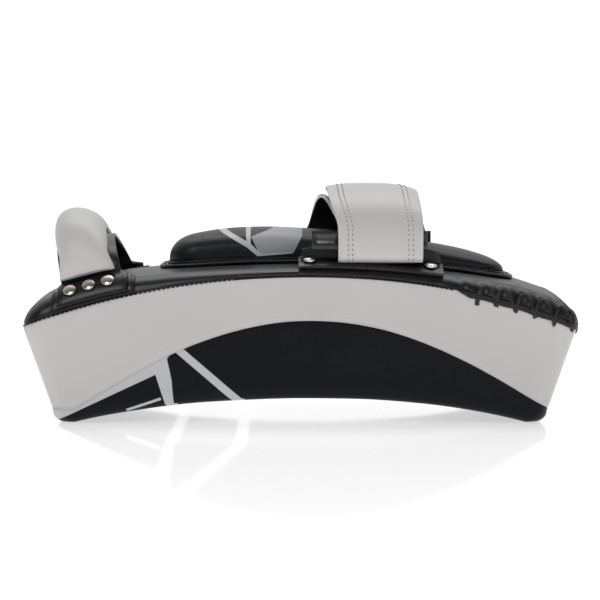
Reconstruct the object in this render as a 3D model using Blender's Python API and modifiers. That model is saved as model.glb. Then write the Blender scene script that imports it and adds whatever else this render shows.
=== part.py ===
"""Thai pad: a curved kick pad with a riveted padded handle, a forearm cushion and a folding forearm strap.

The pad stands on the two ends of its strike face. +X runs along its length, from the handle end to the laced
end, -Y is its near side and +Z is up. The origin is at the bottom centre. All sizes are in metres.
"""

import math

import bmesh
import bpy
from mathutils import Matrix, Vector

MM = 0.001

# Driving dimensions of the padded body.
HALF_LENGTH = 200 * MM          # at the seam under the back panel
HALF_LENGTH_LOW = 179 * MM      # the end walls lean in towards the strike face
HALF_WIDTH = 100 * MM
CORNER_RADIUS = 14 * MM
CREST_X = 8 * MM                # the body's arch is highest a little past the middle
SEAM_CREST_Z = 106 * MM
SEAM_END_Z = 70 * MM
SEAM_POWER = 2.1
UNDERSIDE_RISE = 17 * MM        # hollow of the strike face at the middle
UNDERSIDE_HALF = 163 * MM       # the strike face is flat on the ground past this
REST_SHARE = 0.88               # ring of the strike face that starts the flat rest
UNDERSIDE_POWER = 2.35
STRIKE_EDGE_RADIUS = 8 * MM
SCALLOP_LOW_Z = 10.5 * MM       # the strike face's leather climbs the side wall in one long curve
SCALLOP_CREST_Z = 74 * MM
SCALLOP_HALF = 172 * MM
ROLL_INSET = 16 * MM            # width of the rolled back edge
ROLL_CREST_HEIGHT = 5.5 * MM    # its height over the seam at the middle, and what it gains towards the ends
ROLL_GAIN = 8.5 * MM
ROLL_GAIN_HALF = 150 * MM
CROWN = 3 * MM

LEATHER = 2 * MM                # thickness of the body's leather with its backing
FOAM_INSET = 3.4 * MM
SEAM_GAP = 0.3 * MM
SEAM_BAND = 3 * MM              # the wall stands upright for this far under the seam
REST_GAP = 0.6 * MM             # under a piece that lies on the back panel

# Forearm cushion, along the back.
CUSHION_X = (-97 * MM, 151 * MM)
CUSHION_HALF_WIDTH = 48 * MM
CUSHION_HEIGHT = 22 * MM
CUSHION_FALL = 0.47             # share of its height that it loses towards the laced end
CUSHION_RADIUS = 20 * MM
FLANGE_MARGIN = 7 * MM
FLANGE_THICKNESS = 2 * MM

# Handle, across the back at the handle end.
HANDLE_X = -150.5 * MM
HANDLE_LEAN = math.radians(12)  # it stands nearly square to the sloping back
HANDLE_CREST_Z = 154 * MM
HANDLE_TWIST_FOOT = 3 * MM      # how far its far leg stands past the near one, at the foot and what it gains
HANDLE_TWIST_RISE = 7 * MM
HANDLE_HALF_SPAN = 85 * MM
HANDLE_ARCH_POWER = 2.6
HANDLE_STRIP_WIDTH = 43 * MM
HANDLE_STRIP_THICKNESS = 2.4 * MM
HANDLE_TAB_X = -149 * MM
HANDLE_TAB_HALF = 25 * MM
HANDLE_TAB_OFFSET = 3.2 * MM
GRIP_SHIFT = -2 * MM
GRIP_WIDTH = 37 * MM
GRIP_DEPTH = 19 * MM
GRIP_FOOT_DEPTH = 5 * MM
GRIP_COVER = 1.6 * MM

# Forearm strap, across the back. Its feet stand on anchors that are wider than the strap.
STRAP_X = 58 * MM
STRAP_HALF_WIDTH = 30.5 * MM
STRAP_HALF_SPAN = 84 * MM       # to the lining's inner face
STRAP_CREST_Z = 156.5 * MM
STRAP_FOOT_Z = 122 * MM
STRAP_POWER = 2.8
LINING_SPREAD = 20 * MM         # what the lining gains in half width towards the far side
LINING_THICKNESS = 3 * MM
STRAP_THICKNESS = 2 * MM
TAPE_THICKNESS = 2.8 * MM
FLAP_LINING_THICKNESS = 1.2 * MM
LAYER_GAP = 0.35 * MM
STRAP_FAR_END = 0.90            # shares of the arch, from its near foot to its far foot
FLAP_END = 0.62
TAPE_START, TAPE_END = 0.20, 0.60

ANCHOR_X = 51 * MM
ANCHOR_HALF_WIDTH = 52 * MM
ANCHOR_LOOP_HALF_WIDTH = 31.5 * MM
ANCHOR_THICKNESS = 2 * MM
BRIM_OFFSET = 2.7 * MM          # the anchors' brims lie over the patches on the roll

# Keeper ring that the strap folds round.
RING_X = 50.3 * MM
RING_HALF_WIDTH = 41.8 * MM
RING_LEG_WIDTH = 3.2 * MM
RING_LEG_HEIGHT = 7 * MM
RING_BAR_HEIGHT = 13 * MM
RING_BAR_THICKNESS = 2.4 * MM
RING_BAR_OFFSET = 6.4 * MM      # from the lining's inner face to the bar's back
RING_ROD_RADIUS = 2.2 * MM
RING_HINGE_Y = -76.5 * MM
RING_HINGE_Z = 132 * MM

PATCH_OFFSET = 1.0 * MM
PATCH_THICKNESS = 1.2 * MM
HANDLE_PATCH_HALF = 30 * MM

RIVET_CAP_RADIUS = 4.7 * MM
RIVET_CAP_HEIGHT = 2.2 * MM
RIVET_SHANK_RADIUS = 1.6 * MM
RIVET_SEAT = 0.7 * MM
HANDLE_RIVET_X = (-165 * MM, -151.5 * MM, -138 * MM)
HANDLE_RIVET_ANGLE = 42
STRAP_RIVET_X = (7 * MM, 94 * MM)
STRAP_RIVET_ANGLE = 72

# Lacing round the end that the filling goes in through.
LACE_RADIUS = 1.5 * MM
LACE_START_X = 113 * MM
LACE_STITCHES = 26
LACE_TOOTH = 7 * MM             # how far under the seam a stitch enters the side wall

COLOURS = {
    "white_leather": ((0.62, 0.61, 0.60), 0.45, 0.0),
    "black_leather": ((0.022, 0.022, 0.024), 0.42, 0.0),
    "lace": ((0.015, 0.015, 0.016), 0.6, 0.0),
    "foam": ((0.10, 0.11, 0.13), 0.9, 0.0),
    "soft_foam": ((0.55, 0.52, 0.40), 0.95, 0.0),
    "hook_tape": ((0.02, 0.02, 0.02), 0.95, 0.0),
    "nickel": ((0.78, 0.76, 0.72), 0.25, 1.0),
    "moulded_ring": ((0.10, 0.10, 0.11), 0.3, 0.0),
}


# ---------------------------------------------------------------- surfaces of the body

def from_crest(x):
    """Distance along the length from the arch's crest, as a share of that side's length."""
    reach = HALF_LENGTH - CREST_X if x > CREST_X else HALF_LENGTH + CREST_X
    return min(abs(x - CREST_X) / reach, 1.0)


def seam_z(x):
    """Height of the seam between the side wall and the back panel."""
    return SEAM_CREST_Z - (SEAM_CREST_Z - SEAM_END_Z) * from_crest(x) ** SEAM_POWER


def underside_z(x):
    """Height of the hollow strike face."""
    reach = UNDERSIDE_HALF - CREST_X if x > CREST_X else UNDERSIDE_HALF + CREST_X
    share = min(abs(x - CREST_X) / reach, 1.0)
    return UNDERSIDE_RISE * (1 - share ** UNDERSIDE_POWER)


def scallop_z(x):
    """Height of the curved seam where the strike face's leather meets the side wall."""
    share = max(1 - ((x - CREST_X) / SCALLOP_HALF) ** 2, 0.0)
    return SCALLOP_LOW_Z + (SCALLOP_CREST_Z - SCALLOP_LOW_Z) * share ** 1.15


def roll_height(x):
    """Height of the rolled back edge over the seam."""
    return ROLL_CREST_HEIGHT + ROLL_GAIN * min(abs(x - CREST_X) / ROLL_GAIN_HALF, 1.0) ** 2


def back_z(x, y):
    """Height of the back panel inside its roll."""
    return seam_z(x) + roll_height(x) + CROWN * max(1 - (y / (HALF_WIDTH - ROLL_INSET)) ** 2, 0.0)


def roll_point(x, side, angle, offset=0.0):
    """A point on the long edge's roll: angle 0 at the seam, 90 degrees at its crest."""
    turn = math.radians(angle)
    rise = roll_height(x)
    across = HALF_WIDTH - ROLL_INSET * (1 - math.cos(turn)) + offset * math.cos(turn)
    return Vector((x, side * across, seam_z(x) + rise * math.sin(turn) + offset * math.sin(turn)))


def half_length_at(z):
    """The end walls' half length at a height."""
    share = (z - STRIKE_EDGE_RADIUS) / (SEAM_END_Z - SEAM_BAND - STRIKE_EDGE_RADIUS)
    return HALF_LENGTH_LOW + (HALF_LENGTH - HALF_LENGTH_LOW) * min(max(share, 0.0), 1.0)


# ---------------------------------------------------------------- building helpers

def clear_scene():
    for item in list(bpy.data.objects):
        bpy.data.objects.remove(item, do_unlink=True)


def collection(name):
    found = bpy.data.collections.new(name)
    bpy.context.scene.collection.children.link(found)
    return found


def material(name):
    made = bpy.data.materials.get(name)
    if made is None:
        colour, roughness, metallic = COLOURS[name]
        made = bpy.data.materials.new(name)
        made.use_nodes = True
        shader = made.node_tree.nodes["Principled BSDF"]
        shader.inputs["Base Color"].default_value = (*colour, 1)
        shader.inputs["Roughness"].default_value = roughness
        shader.inputs["Metallic"].default_value = metallic
    return made


def finish_mesh(name, mesh, finish, smooth=True):
    """Links a mesh as one named part with its own material."""
    if smooth:
        mesh.shade_smooth()
        mesh.set_sharp_from_angle(angle=math.radians(40))
    item = bpy.data.objects.new(name, mesh)
    item.data.materials.append(material(finish))
    PARTS.objects.link(item)
    return item


def loft(rings, closed_rings=True, fill_start=False, fill_end=False):
    """A mesh over rows of points. Doubles are merged, so a row may fold up on itself."""
    work = bmesh.new()
    rows = [[work.verts.new(point) for point in ring] for ring in rings]
    count = len(rings[0])
    spans = count if closed_rings else count - 1
    for low, high in zip(rows, rows[1:]):
        for i in range(spans):
            j = (i + 1) % count
            work.faces.new((low[i], low[j], high[j], high[i]))
    if fill_start:
        work.faces.new(list(reversed(rows[0])))
    if fill_end:
        work.faces.new(rows[-1])
    bmesh.ops.remove_doubles(work, verts=work.verts, dist=1e-5)
    if closed_rings:
        bmesh.ops.recalc_face_normals(work, faces=work.faces)
    mesh = bpy.data.meshes.new("loft")
    work.to_mesh(mesh)
    work.free()
    return mesh


def solidify(item, thickness, offset=-1.0):
    """Gives an open surface its thickness: offset -1 grows it inwards, against the normals."""
    wall = item.modifiers.new("Thickness", "SOLIDIFY")
    wall.thickness = thickness
    wall.offset = offset
    wall.use_even_offset = True
    return item


def sheet(name, rows, thickness, finish):
    """A strip or patch of leather: rows of points along +X on its inner face, from the near side over to the far."""
    mesh = loft(rows, closed_rings=False)
    return solidify(finish_mesh(name, mesh, finish), thickness, offset=1.0)


def subdivided(start, end, count):
    return [start + (end - start) * i / count for i in range(count + 1)]


def outline(half_x, half_y, radius, long_count=20, end_count=6, corner_count=2):
    """Points round a rounded rectangle, counted the same way for every size."""
    radius = min(radius, half_x, half_y)
    points = []
    flat_x, flat_y = half_x - radius, half_y - radius
    sides = (
        (flat_x, -flat_y, 0, end_count, (0, 1)),
        (flat_x, flat_y, 90, long_count, (-1, 0)),
        (-flat_x, flat_y, 180, end_count, (0, -1)),
        (-flat_x, -flat_y, 270, long_count, (1, 0)),
    )
    for x, y, angle, count, (step_x, step_y) in sides:
        turn = math.radians(angle)
        edge = Vector((x + radius * math.cos(turn), y + radius * math.sin(turn)))
        run = Vector((step_x * 2 * flat_x, step_y * 2 * flat_y))
        points += [edge + run * i / count for i in range(count)]
        corner = edge + run
        centre = corner - radius * Vector((math.cos(turn), math.sin(turn)))
        for i in range(corner_count):
            sweep = turn + math.radians(90) * i / corner_count
            points.append(centre + radius * Vector((math.cos(sweep), math.sin(sweep))))
    return points


def to_spine(points, share, half_spine):
    """Points moved towards the middle line of the plan: share 0 lies on the line, 1 stays."""
    moved = []
    for point in points:
        spine = Vector((min(max(point.x, -half_spine), half_spine), 0))
        moved.append(spine + (point - spine) * share)
    return moved


def wall_ring(height_of, inset=0.0):
    """A ring round the body's wall, its height a function of X, on the leaning end walls."""
    ring = []
    for point in outline(HALF_LENGTH - inset, HALF_WIDTH - inset, CORNER_RADIUS - inset / 2):
        x = point.x
        for _ in range(4):
            x = point.x * half_length_at(height_of(x)) / HALF_LENGTH
        ring.append(Vector((x, point.y, height_of(x))))
    return ring


def plan_ring(half_x, half_y, radius, height_of, share=1.0):
    """A ring over the body's back or under its strike face."""
    half_spine = max(half_x - half_y, 0.0) + 30 * MM
    points = to_spine(outline(half_x, half_y, radius), share, half_spine)
    return [Vector((p.x, p.y, height_of(p.x, p.y))) for p in points]


def roll_patch(name, middle, half, side):
    """A reinforcing patch sewn over the roll, under a riveted tab."""
    rows = []
    for angle in (4, 20, 40, 60, 78):
        rows.append([roll_point(x, side, angle, PATCH_OFFSET) for x in subdivided(middle - half, middle + half, 6)])
    return sheet(name, rows if side < 0 else rows[::-1], PATCH_THICKNESS, "black_leather")


def blend_height(low, high, share):
    return lambda x: low(x) + (high(x) - low(x)) * share


# ---------------------------------------------------------------- padded body

def strike_face_panel():
    radius = STRIKE_EDGE_RADIUS
    turn = 1 - math.cos(math.radians(45))
    half_x, half_y = HALF_LENGTH_LOW, HALF_WIDTH
    rings = [
        plan_ring(half_x - radius, half_y - radius, CORNER_RADIUS - radius / 2, lambda x, y: underside_z(x), share)
        for share in (0.0, 0.5, REST_SHARE, 1.0)
    ]
    rings.append(plan_ring(
        half_x - radius * turn, half_y - radius * turn, CORNER_RADIUS - radius * turn / 2,
        lambda x, y: underside_z(x) + radius * turn))
    edge = lambda x: underside_z(x) + radius
    top = lambda x: scallop_z(x) - SEAM_GAP / 2
    rings += [wall_ring(blend_height(edge, top, share)) for share in (0.0, 0.35, 0.7, 1.0)]
    item = finish_mesh("strike_face_panel", loft(rings), "black_leather")
    return solidify(item, LEATHER)


def side_wall():
    low = lambda x: scallop_z(x) + SEAM_GAP / 2
    high = lambda x: seam_z(x) - SEAM_GAP / 2
    band = lambda x: seam_z(x) - SEAM_BAND
    rings = [wall_ring(blend_height(low, band, share)) for share in (0.0, 0.35, 0.7, 1.0)]
    rings.append(wall_ring(high))
    return solidify(finish_mesh("side_wall", loft(rings), "white_leather"), LEATHER)


def back_panel():
    """The back, with its rolled edge: rings from the seam over the roll and in to the middle."""
    rings = [
        plan_ring(HALF_LENGTH, HALF_WIDTH, CORNER_RADIUS, lambda x, y, lift=lift: seam_z(x) + lift)
        for lift in (SEAM_GAP / 2, 1.2 * MM)
    ]
    for angle in (25, 45, 68, 90):
        turn = math.radians(angle)
        pull = ROLL_INSET * (1 - math.cos(turn))

        def height(x, y, lift=math.sin(turn)):
            return seam_z(x) + SEAM_GAP / 2 + (back_z(x, y) - seam_z(x)) * lift
        rings.append(plan_ring(HALF_LENGTH - pull, HALF_WIDTH - pull, CORNER_RADIUS, height))
    for share in (0.75, 0.4, 0.0):
        rings.append(plan_ring(
            HALF_LENGTH - ROLL_INSET, HALF_WIDTH - ROLL_INSET, CORNER_RADIUS,
            lambda x, y: back_z(x, y) + SEAM_GAP / 2, share))
    return solidify(finish_mesh("back_panel", loft(rings), "black_leather"), LEATHER)


def foam_layer(name, low, high, finish, chamfer=0.0):
    """One sheet of the filling, between two heights that follow the arch."""
    def flat(height, half_x, inset, share):
        return plan_ring(half_x - inset, HALF_WIDTH - inset, CORNER_RADIUS, lambda x, y: height(x), share)

    low_half = half_length_at(low(HALF_LENGTH_LOW))
    high_half = half_length_at(high(HALF_LENGTH))
    lifted = lambda x: low(x) + chamfer
    rings = [flat(low, low_half, FOAM_INSET + chamfer, share) for share in (0.0, 0.5, 1.0)]
    if chamfer:
        rings.append(flat(lifted, low_half, FOAM_INSET, 1.0))
    rings += [flat(high, high_half, FOAM_INSET, share) for share in (1.0, 0.5, 0.0)]
    return finish_mesh(name, loft(rings), finish)


def foam_filling():
    skin = LEATHER + 0.8 * MM
    split_low = lambda x: underside_z(x) + 0.32 * (seam_z(x) - underside_z(x))
    split_high = lambda x: underside_z(x) + 0.70 * (seam_z(x) - underside_z(x))
    gap = 0.9 * MM
    foam_layer("impact_foam", lambda x: underside_z(x) + skin, lambda x: split_low(x) - gap, "foam", 6 * MM)
    foam_layer("core_foam", lambda x: split_low(x), lambda x: split_high(x) - gap, "soft_foam")
    foam_layer("back_foam", lambda x: split_high(x), lambda x: seam_z(x) - 2 * MM, "foam")


# ---------------------------------------------------------------- forearm cushion

def cushion_ring(inset, lift, share=1.0, gap=REST_GAP):
    """A ring of the cushion, lifted over the back by part of its height."""
    middle = (CUSHION_X[0] + CUSHION_X[1]) / 2
    half = (CUSHION_X[1] - CUSHION_X[0]) / 2
    points = outline(half - inset, CUSHION_HALF_WIDTH - inset, max(CUSHION_RADIUS - inset / 2, 4 * MM), 12, 5, 3)
    ring = []
    for point in to_spine(points, share, half - CUSHION_HALF_WIDTH + 10 * MM):
        along = point.x / half
        height = CUSHION_HEIGHT * (1 - CUSHION_FALL * max((along + 0.35) / 1.15, 0.0) ** 0.85)
        x = point.x + middle
        ring.append(Vector((x, point.y, back_z(x, point.y) + gap + lift * height)))
    return ring


def cushion():
    base = REST_GAP + FLANGE_THICKNESS + 0.6 * MM
    flange = [cushion_ring(-FLANGE_MARGIN, 0.0, share) for share in (0.0, 0.5, 1.0)]
    solidify(finish_mesh("cushion_base", loft(flange), "black_leather"), FLANGE_THICKNESS, 1.0)
    skin = [
        cushion_ring(0.0, 0.0, gap=base), cushion_ring(-0.5 * MM, 0.30, gap=base),
        cushion_ring(2 * MM, 0.58, gap=base), cushion_ring(8 * MM, 0.82, gap=base),
        cushion_ring(20 * MM, 0.97, gap=base), cushion_ring(30 * MM, 1.0, 0.6, base),
        cushion_ring(30 * MM, 1.02, 0.0, base),
    ]
    solidify(finish_mesh("cushion_cover", loft(skin), "black_leather"), 1.8 * MM)
    inner = 2.6 * MM
    lower = base + 0.4 * MM
    core = [
        cushion_ring(inner, 0.0, 0.0, lower), cushion_ring(inner, 0.0, 1.0, lower),
        cushion_ring(inner, 0.16, 1.0, lower), cushion_ring(inner + 4 * MM, 0.32, 1.0, lower),
        cushion_ring(inner + 10 * MM, 0.48, 1.0, lower), cushion_ring(inner + 20 * MM, 0.60, 1.0, lower),
        cushion_ring(inner + 30 * MM, 0.64, 0.0, lower),
    ]
    finish_mesh("cushion_foam", loft(core), "soft_foam")


# ---------------------------------------------------------------- handle

def handle_point(share, offset, along=0.0):
    """A point over the handle's arch, from its near foot to its far one, in the handle's leaning plane."""
    foot_z = back_z(HANDLE_X, HALF_WIDTH) + HANDLE_TAB_OFFSET + 1 * MM
    angle = math.pi * share
    power = 2 / HANDLE_ARCH_POWER
    across = -math.copysign(abs(math.cos(angle)) ** power, math.cos(angle))
    up = abs(math.sin(angle)) ** power
    rise = HANDLE_CREST_Z - GRIP_DEPTH - HANDLE_STRIP_THICKNESS - 1 * MM - foot_z
    slope = Vector((0, across / HANDLE_HALF_SPAN, up / rise)).normalized()
    point = Vector((along, across * HANDLE_HALF_SPAN, up * rise)) + offset * slope
    slant = (back_z(HANDLE_X + along, HALF_WIDTH) - back_z(HANDLE_X, HALF_WIDTH)) * (1 - up)
    twist = (HANDLE_TWIST_FOOT + HANDLE_TWIST_RISE * up) * (1 + across) / 2
    x = HANDLE_X + point.x - math.tan(HANDLE_LEAN) * point.z - twist
    return Vector((x, point.y, foot_z + point.z + slant))


def handle_strip():
    """The black inner strip of the handle, which runs out over the roll on both sides as riveted tabs."""
    widths = subdivided(-1.0, 1.0, 4)
    near_tab, far_tab = (
        [[roll_point(HANDLE_TAB_X + w * HANDLE_TAB_HALF, side, angle, HANDLE_TAB_OFFSET) for w in widths]
         for angle in (12, 30, 50, 70)]
        for side in (-1, 1)
    )
    arch = [[handle_point(share, 0.0, w * HANDLE_STRIP_WIDTH / 2) for w in widths]
            for share in subdivided(0.0, 1.0, 20)]
    return sheet("handle_strip", near_tab + arch + far_tab[::-1], HANDLE_STRIP_THICKNESS, "black_leather")


def grip_rings(shrink, start, end):
    """Rings of the padded grip, fattest over the palm and flat at the feet."""
    rings = []
    for share in subdivided(start, end, 20):
        fat = min(math.sin(math.pi * share) * 1.55, 1.0) ** 0.6
        half = GRIP_WIDTH / 2 - shrink
        depth = GRIP_FOOT_DEPTH + (GRIP_DEPTH - GRIP_FOOT_DEPTH) * fat - 2 * shrink
        base = HANDLE_STRIP_THICKNESS + 0.6 * MM + shrink
        ring = []
        for i in range(14):
            turn = 2 * math.pi * i / 14
            across = half * math.copysign(abs(math.cos(turn)) ** 0.7, math.cos(turn))
            up = (math.sin(turn) + 1) / 2
            ring.append(handle_point(share, base + depth * up, GRIP_SHIFT + across))
        rings.append(ring)
    return rings


def handle():
    handle_strip()
    skin = finish_mesh("handle_grip_cover", loft(grip_rings(0.0, 0.02, 0.98)), "white_leather")
    solidify(skin, GRIP_COVER)
    core = loft(grip_rings(GRIP_COVER + 1.1 * MM, 0.09, 0.91), fill_start=True, fill_end=True)
    finish_mesh("handle_grip_foam", core, "soft_foam")
    roll_patch("handle_patch_near", HANDLE_TAB_X, HANDLE_PATCH_HALF, -1)
    roll_patch("handle_patch_far", HANDLE_TAB_X, HANDLE_PATCH_HALF, 1)


# ---------------------------------------------------------------- rivets

def rivet(name, point, normal, grip):
    """A domed cap on a shank, turned about the shank's axis."""
    profile = [
        (0.0, RIVET_CAP_HEIGHT), (RIVET_CAP_RADIUS * 0.55, RIVET_CAP_HEIGHT * 0.88),
        (RIVET_CAP_RADIUS * 0.9, RIVET_CAP_HEIGHT * 0.5), (RIVET_CAP_RADIUS, 0.0),
        (RIVET_SHANK_RADIUS, 0.0), (RIVET_SHANK_RADIUS, -grip), (0.0, -grip),
    ]
    mesh = bpy.data.meshes.new(name)
    edges = [(i, i + 1) for i in range(len(profile) - 1)]
    mesh.from_pydata([(radius, 0, height) for radius, height in profile], edges, [])
    item = bpy.data.objects.new(name, mesh)
    item.data.materials.append(material("nickel"))
    PARTS.objects.link(item)
    turned = item.modifiers.new("Turned", "SCREW")
    turned.steps = 16
    turned.render_steps = 16
    turned.use_merge_vertices = True
    turned.merge_threshold = 0.00001
    item.location = point
    item.rotation_mode = "QUATERNION"
    item.rotation_quaternion = normal.to_track_quat("Z", "Y")
    return item


def roll_normal(x, side, angle):
    """The outward normal of the roll, from its slope along and across the pad."""
    along = roll_point(x + 4 * MM, side, angle) - roll_point(x - 4 * MM, side, angle)
    across = roll_point(x, side, angle + 8) - roll_point(x, side, angle - 8)
    return (along.cross(across) * -side).normalized()


def drill(targets, point, normal):
    """A clearance hole for a rivet's shank through each leather layer."""
    bpy.ops.mesh.primitive_cylinder_add(
        vertices=12, radius=RIVET_SHANK_RADIUS + 0.4 * MM, depth=24 * MM, location=point,
        rotation=normal.to_track_quat("Z", "Y").to_euler())
    cutter = bpy.context.active_object
    cutter.name = "rivet_hole_cutter"
    cutter.hide_render = True
    cutter.display_type = "WIRE"
    move_to(cutter, CUTTERS)
    for target in targets:
        hole = bpy.data.objects[target].modifiers.new("Rivet hole", "BOOLEAN")
        hole.object = cutter
        hole.operation = "DIFFERENCE"
        hole.solver = "EXACT"


def rivet_row(name, places, side, angle, lift, grip, layers):
    """Rivets through a tab and the patch under it."""
    for number, x in enumerate(places, 1):
        normal = roll_normal(x, side, angle)
        seat = roll_point(x, side, angle, lift)
        drill(layers, seat, normal)
        rivet(f"{name}_{number}", seat + normal * RIVET_SEAT, normal, grip)


def rivets():
    tab = HANDLE_TAB_OFFSET + HANDLE_STRIP_THICKNESS
    tab_grip = tab - PATCH_OFFSET
    rivet_row("handle_rivet_near", HANDLE_RIVET_X, -1, HANDLE_RIVET_ANGLE, tab, tab_grip,
              ("handle_strip", "handle_patch_near"))
    rivet_row("handle_rivet_far", HANDLE_RIVET_X, 1, HANDLE_RIVET_ANGLE, tab, tab_grip,
              ("handle_strip", "handle_patch_far"))
    brim = BRIM_OFFSET + ANCHOR_THICKNESS
    rivet_row("strap_rivet_near", STRAP_RIVET_X, -1, STRAP_RIVET_ANGLE, brim, brim - PATCH_OFFSET,
              ("strap_anchor_near", "strap_patch_near"))
    rivet_row("strap_rivet_far", STRAP_RIVET_X, 1, STRAP_RIVET_ANGLE, brim, brim - PATCH_OFFSET,
              ("strap_anchor_far", "strap_patch_far"))


# ---------------------------------------------------------------- forearm strap

def arch_point(share):
    """The strap arch's inner face in the plane across the pad: Y and Z, from the near foot to the far one."""
    angle = math.pi * share
    power = 2 / STRAP_POWER
    across = -math.copysign(abs(math.cos(angle)) ** power, math.cos(angle))
    rise = (STRAP_CREST_Z - STRAP_FOOT_Z) * math.sin(angle) ** power
    return Vector((0, across * STRAP_HALF_SPAN, STRAP_FOOT_Z + rise))


def arch_normal(share):
    step = 0.004
    run = arch_point(min(share + step, 1.0)) - arch_point(max(share - step, 0.0))
    return Vector((0, -run.z, run.y)).normalized()


def strap_rows(start, end, count, offset, half=STRAP_HALF_WIDTH):
    """Rows of a constant-width layer of the strap, at an offset from the lining's inner face."""
    rows = []
    for share in subdivided(start, end, count):
        spot = arch_point(share) + arch_normal(share) * offset
        rows.append([Vector((STRAP_X + w * half, spot.y, spot.z)) for w in (-1, 0, 1)])
    return rows


STRAP_OFFSET = LINING_THICKNESS + LAYER_GAP
HOOK_OFFSET = STRAP_OFFSET + STRAP_THICKNESS + LAYER_GAP
LOOP_OFFSET = HOOK_OFFSET + TAPE_THICKNESS + LAYER_GAP
FLAP_LINING_OFFSET = LOOP_OFFSET + TAPE_THICKNESS + LAYER_GAP
FLAP_OFFSET = FLAP_LINING_OFFSET + FLAP_LINING_THICKNESS + LAYER_GAP
FLAP_HINGE = (STRAP_X, -(STRAP_HALF_SPAN + FLAP_OFFSET + STRAP_THICKNESS + LAYER_GAP), STRAP_FOOT_Z + LAYER_GAP)
RING_HINGE = (RING_X, RING_HINGE_Y, RING_HINGE_Z)


def strap_lining():
    """The black padded inner panel, which widens towards its far foot."""
    rows = []
    for share in subdivided(0.0, 1.0, 24):
        spread = max((share - 0.15) / 0.85, 0.0)
        half = STRAP_HALF_WIDTH + LINING_SPREAD * spread ** 1.3
        middle = STRAP_X + (ANCHOR_X - STRAP_X) * spread
        spot = arch_point(share)
        rows.append([Vector((middle + w * half, spot.y, spot.z)) for w in (-1, -0.5, 0, 0.5, 1)])
    sheet("strap_lining", rows, LINING_THICKNESS, "black_leather")


def strap_main():
    """The white strap: from the far side over the arch, down behind the ring's bar and round under it."""
    fold = (FLAP_OFFSET - STRAP_OFFSET) / 2
    centre_y = -(STRAP_HALF_SPAN + STRAP_OFFSET + fold)
    rows = []
    for angle in subdivided(180, 360, 8):
        turn = math.radians(angle)
        spot_y, spot_z = fold * math.cos(turn), fold * math.sin(turn)
        rows.append([Vector((STRAP_X + w * STRAP_HALF_WIDTH, centre_y + spot_y, STRAP_FOOT_Z + spot_z))
                     for w in (-1, 0, 1)])
    rows += strap_rows(0.0, STRAP_FAR_END, 24, STRAP_OFFSET)[1:]
    sheet("strap_main", rows, STRAP_THICKNESS, "white_leather")


def strap_flap():
    """The strap's end, folded back over itself, with its lining and the two halves of the tape."""
    rows = strap_rows(0.0, FLAP_END, 20, FLAP_OFFSET)
    for point in rows[0]:
        point.z += 2 * LAYER_GAP
    sheet("strap_flap", rows, STRAP_THICKNESS, "white_leather")
    inner_half = STRAP_HALF_WIDTH - 1 * MM
    sheet("flap_lining", strap_rows(0.14, FLAP_END - 0.01, 18, FLAP_LINING_OFFSET, inner_half),
          FLAP_LINING_THICKNESS, "black_leather")
    tape_half = STRAP_HALF_WIDTH - 4 * MM
    sheet("loop_tape", strap_rows(TAPE_START, TAPE_END, 12, LOOP_OFFSET, tape_half), TAPE_THICKNESS, "hook_tape")
    sheet("hook_tape", strap_rows(TAPE_START, TAPE_END, 12, HOOK_OFFSET, tape_half), TAPE_THICKNESS, "hook_tape")
    hang_on("flap_hinge", FLAP_HINGE, ["strap_flap", "flap_lining", "loop_tape"])


def anchor_brim(side, half):
    """Rows of an anchor's foot, from its outer edge on the roll in over the crest."""
    rows = []
    for angle in (38, 55, 72, 90):
        rows.append([roll_point(ANCHOR_X + w * half, side, angle, BRIM_OFFSET) for w in (-1, -0.6, -0.2, 0.2, 0.6, 1)])
    return rows


def strap_anchor_near():
    """Leather that is riveted to the roll and folds over the ring's rod."""
    radius = RING_ROD_RADIUS + 0.4 * MM
    plate_y = RING_HINGE_Y - radius
    rows = anchor_brim(-1, ANCHOR_HALF_WIDTH)
    last = rows[-1]
    rows.append([Vector((p.x, plate_y + 0.4 * MM, p.z + 3.5 * MM)) for p in last])
    narrow = ANCHOR_LOOP_HALF_WIDTH / ANCHOR_HALF_WIDTH
    for share, squeeze in ((0.5, 0.95), (0.75, narrow), (1.0, narrow)):
        row = []
        for p in last:
            low = p.z + 3.5 * MM
            x = ANCHOR_X + (p.x - ANCHOR_X) * squeeze
            row.append(Vector((x, plate_y, low + (RING_HINGE_Z - low) * share)))
        rows.append(row)
    for angle in (150, 120, 90, 60, 30, 0, -30):
        turn = math.radians(angle)
        rows.append([Vector((p.x, RING_HINGE_Y + radius * math.cos(turn), RING_HINGE_Z + radius * math.sin(turn)))
                     for p in rows[7]])
    sheet("strap_anchor_near", rows, ANCHOR_THICKNESS, "black_leather")


def strap_anchor_far():
    """Leather that is riveted to the far roll and sewn inside the lining's foot."""
    rows = anchor_brim(1, ANCHOR_HALF_WIDTH)
    last = rows[-1]
    inside = STRAP_HALF_SPAN - ANCHOR_THICKNESS - 1.2 * MM
    for share in (0.25, 0.6, 1.0):
        row = []
        for p in last:
            low = p.z + 2 * MM
            row.append(Vector((p.x, inside - 2.5 * MM * share, low + (STRAP_FOOT_Z + 12 * MM - low) * share)))
        rows.append(row)
    sheet("strap_anchor_far", rows[::-1], ANCHOR_THICKNESS, "black_leather")


def box(name, size, place, finish=None):
    bpy.ops.mesh.primitive_cube_add(size=1, location=place)
    item = bpy.context.active_object
    item.name = name
    for vertex in item.data.vertices:
        vertex.co = Vector(vertex.co[i] * size[i] for i in range(3))
    if finish:
        item.data.materials.append(material(finish))
    move_to(item, PARTS if finish else CUTTERS)
    return item


def move_to(item, home):
    for user in list(item.users_collection):
        user.objects.unlink(item)
    home.objects.link(item)


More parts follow.
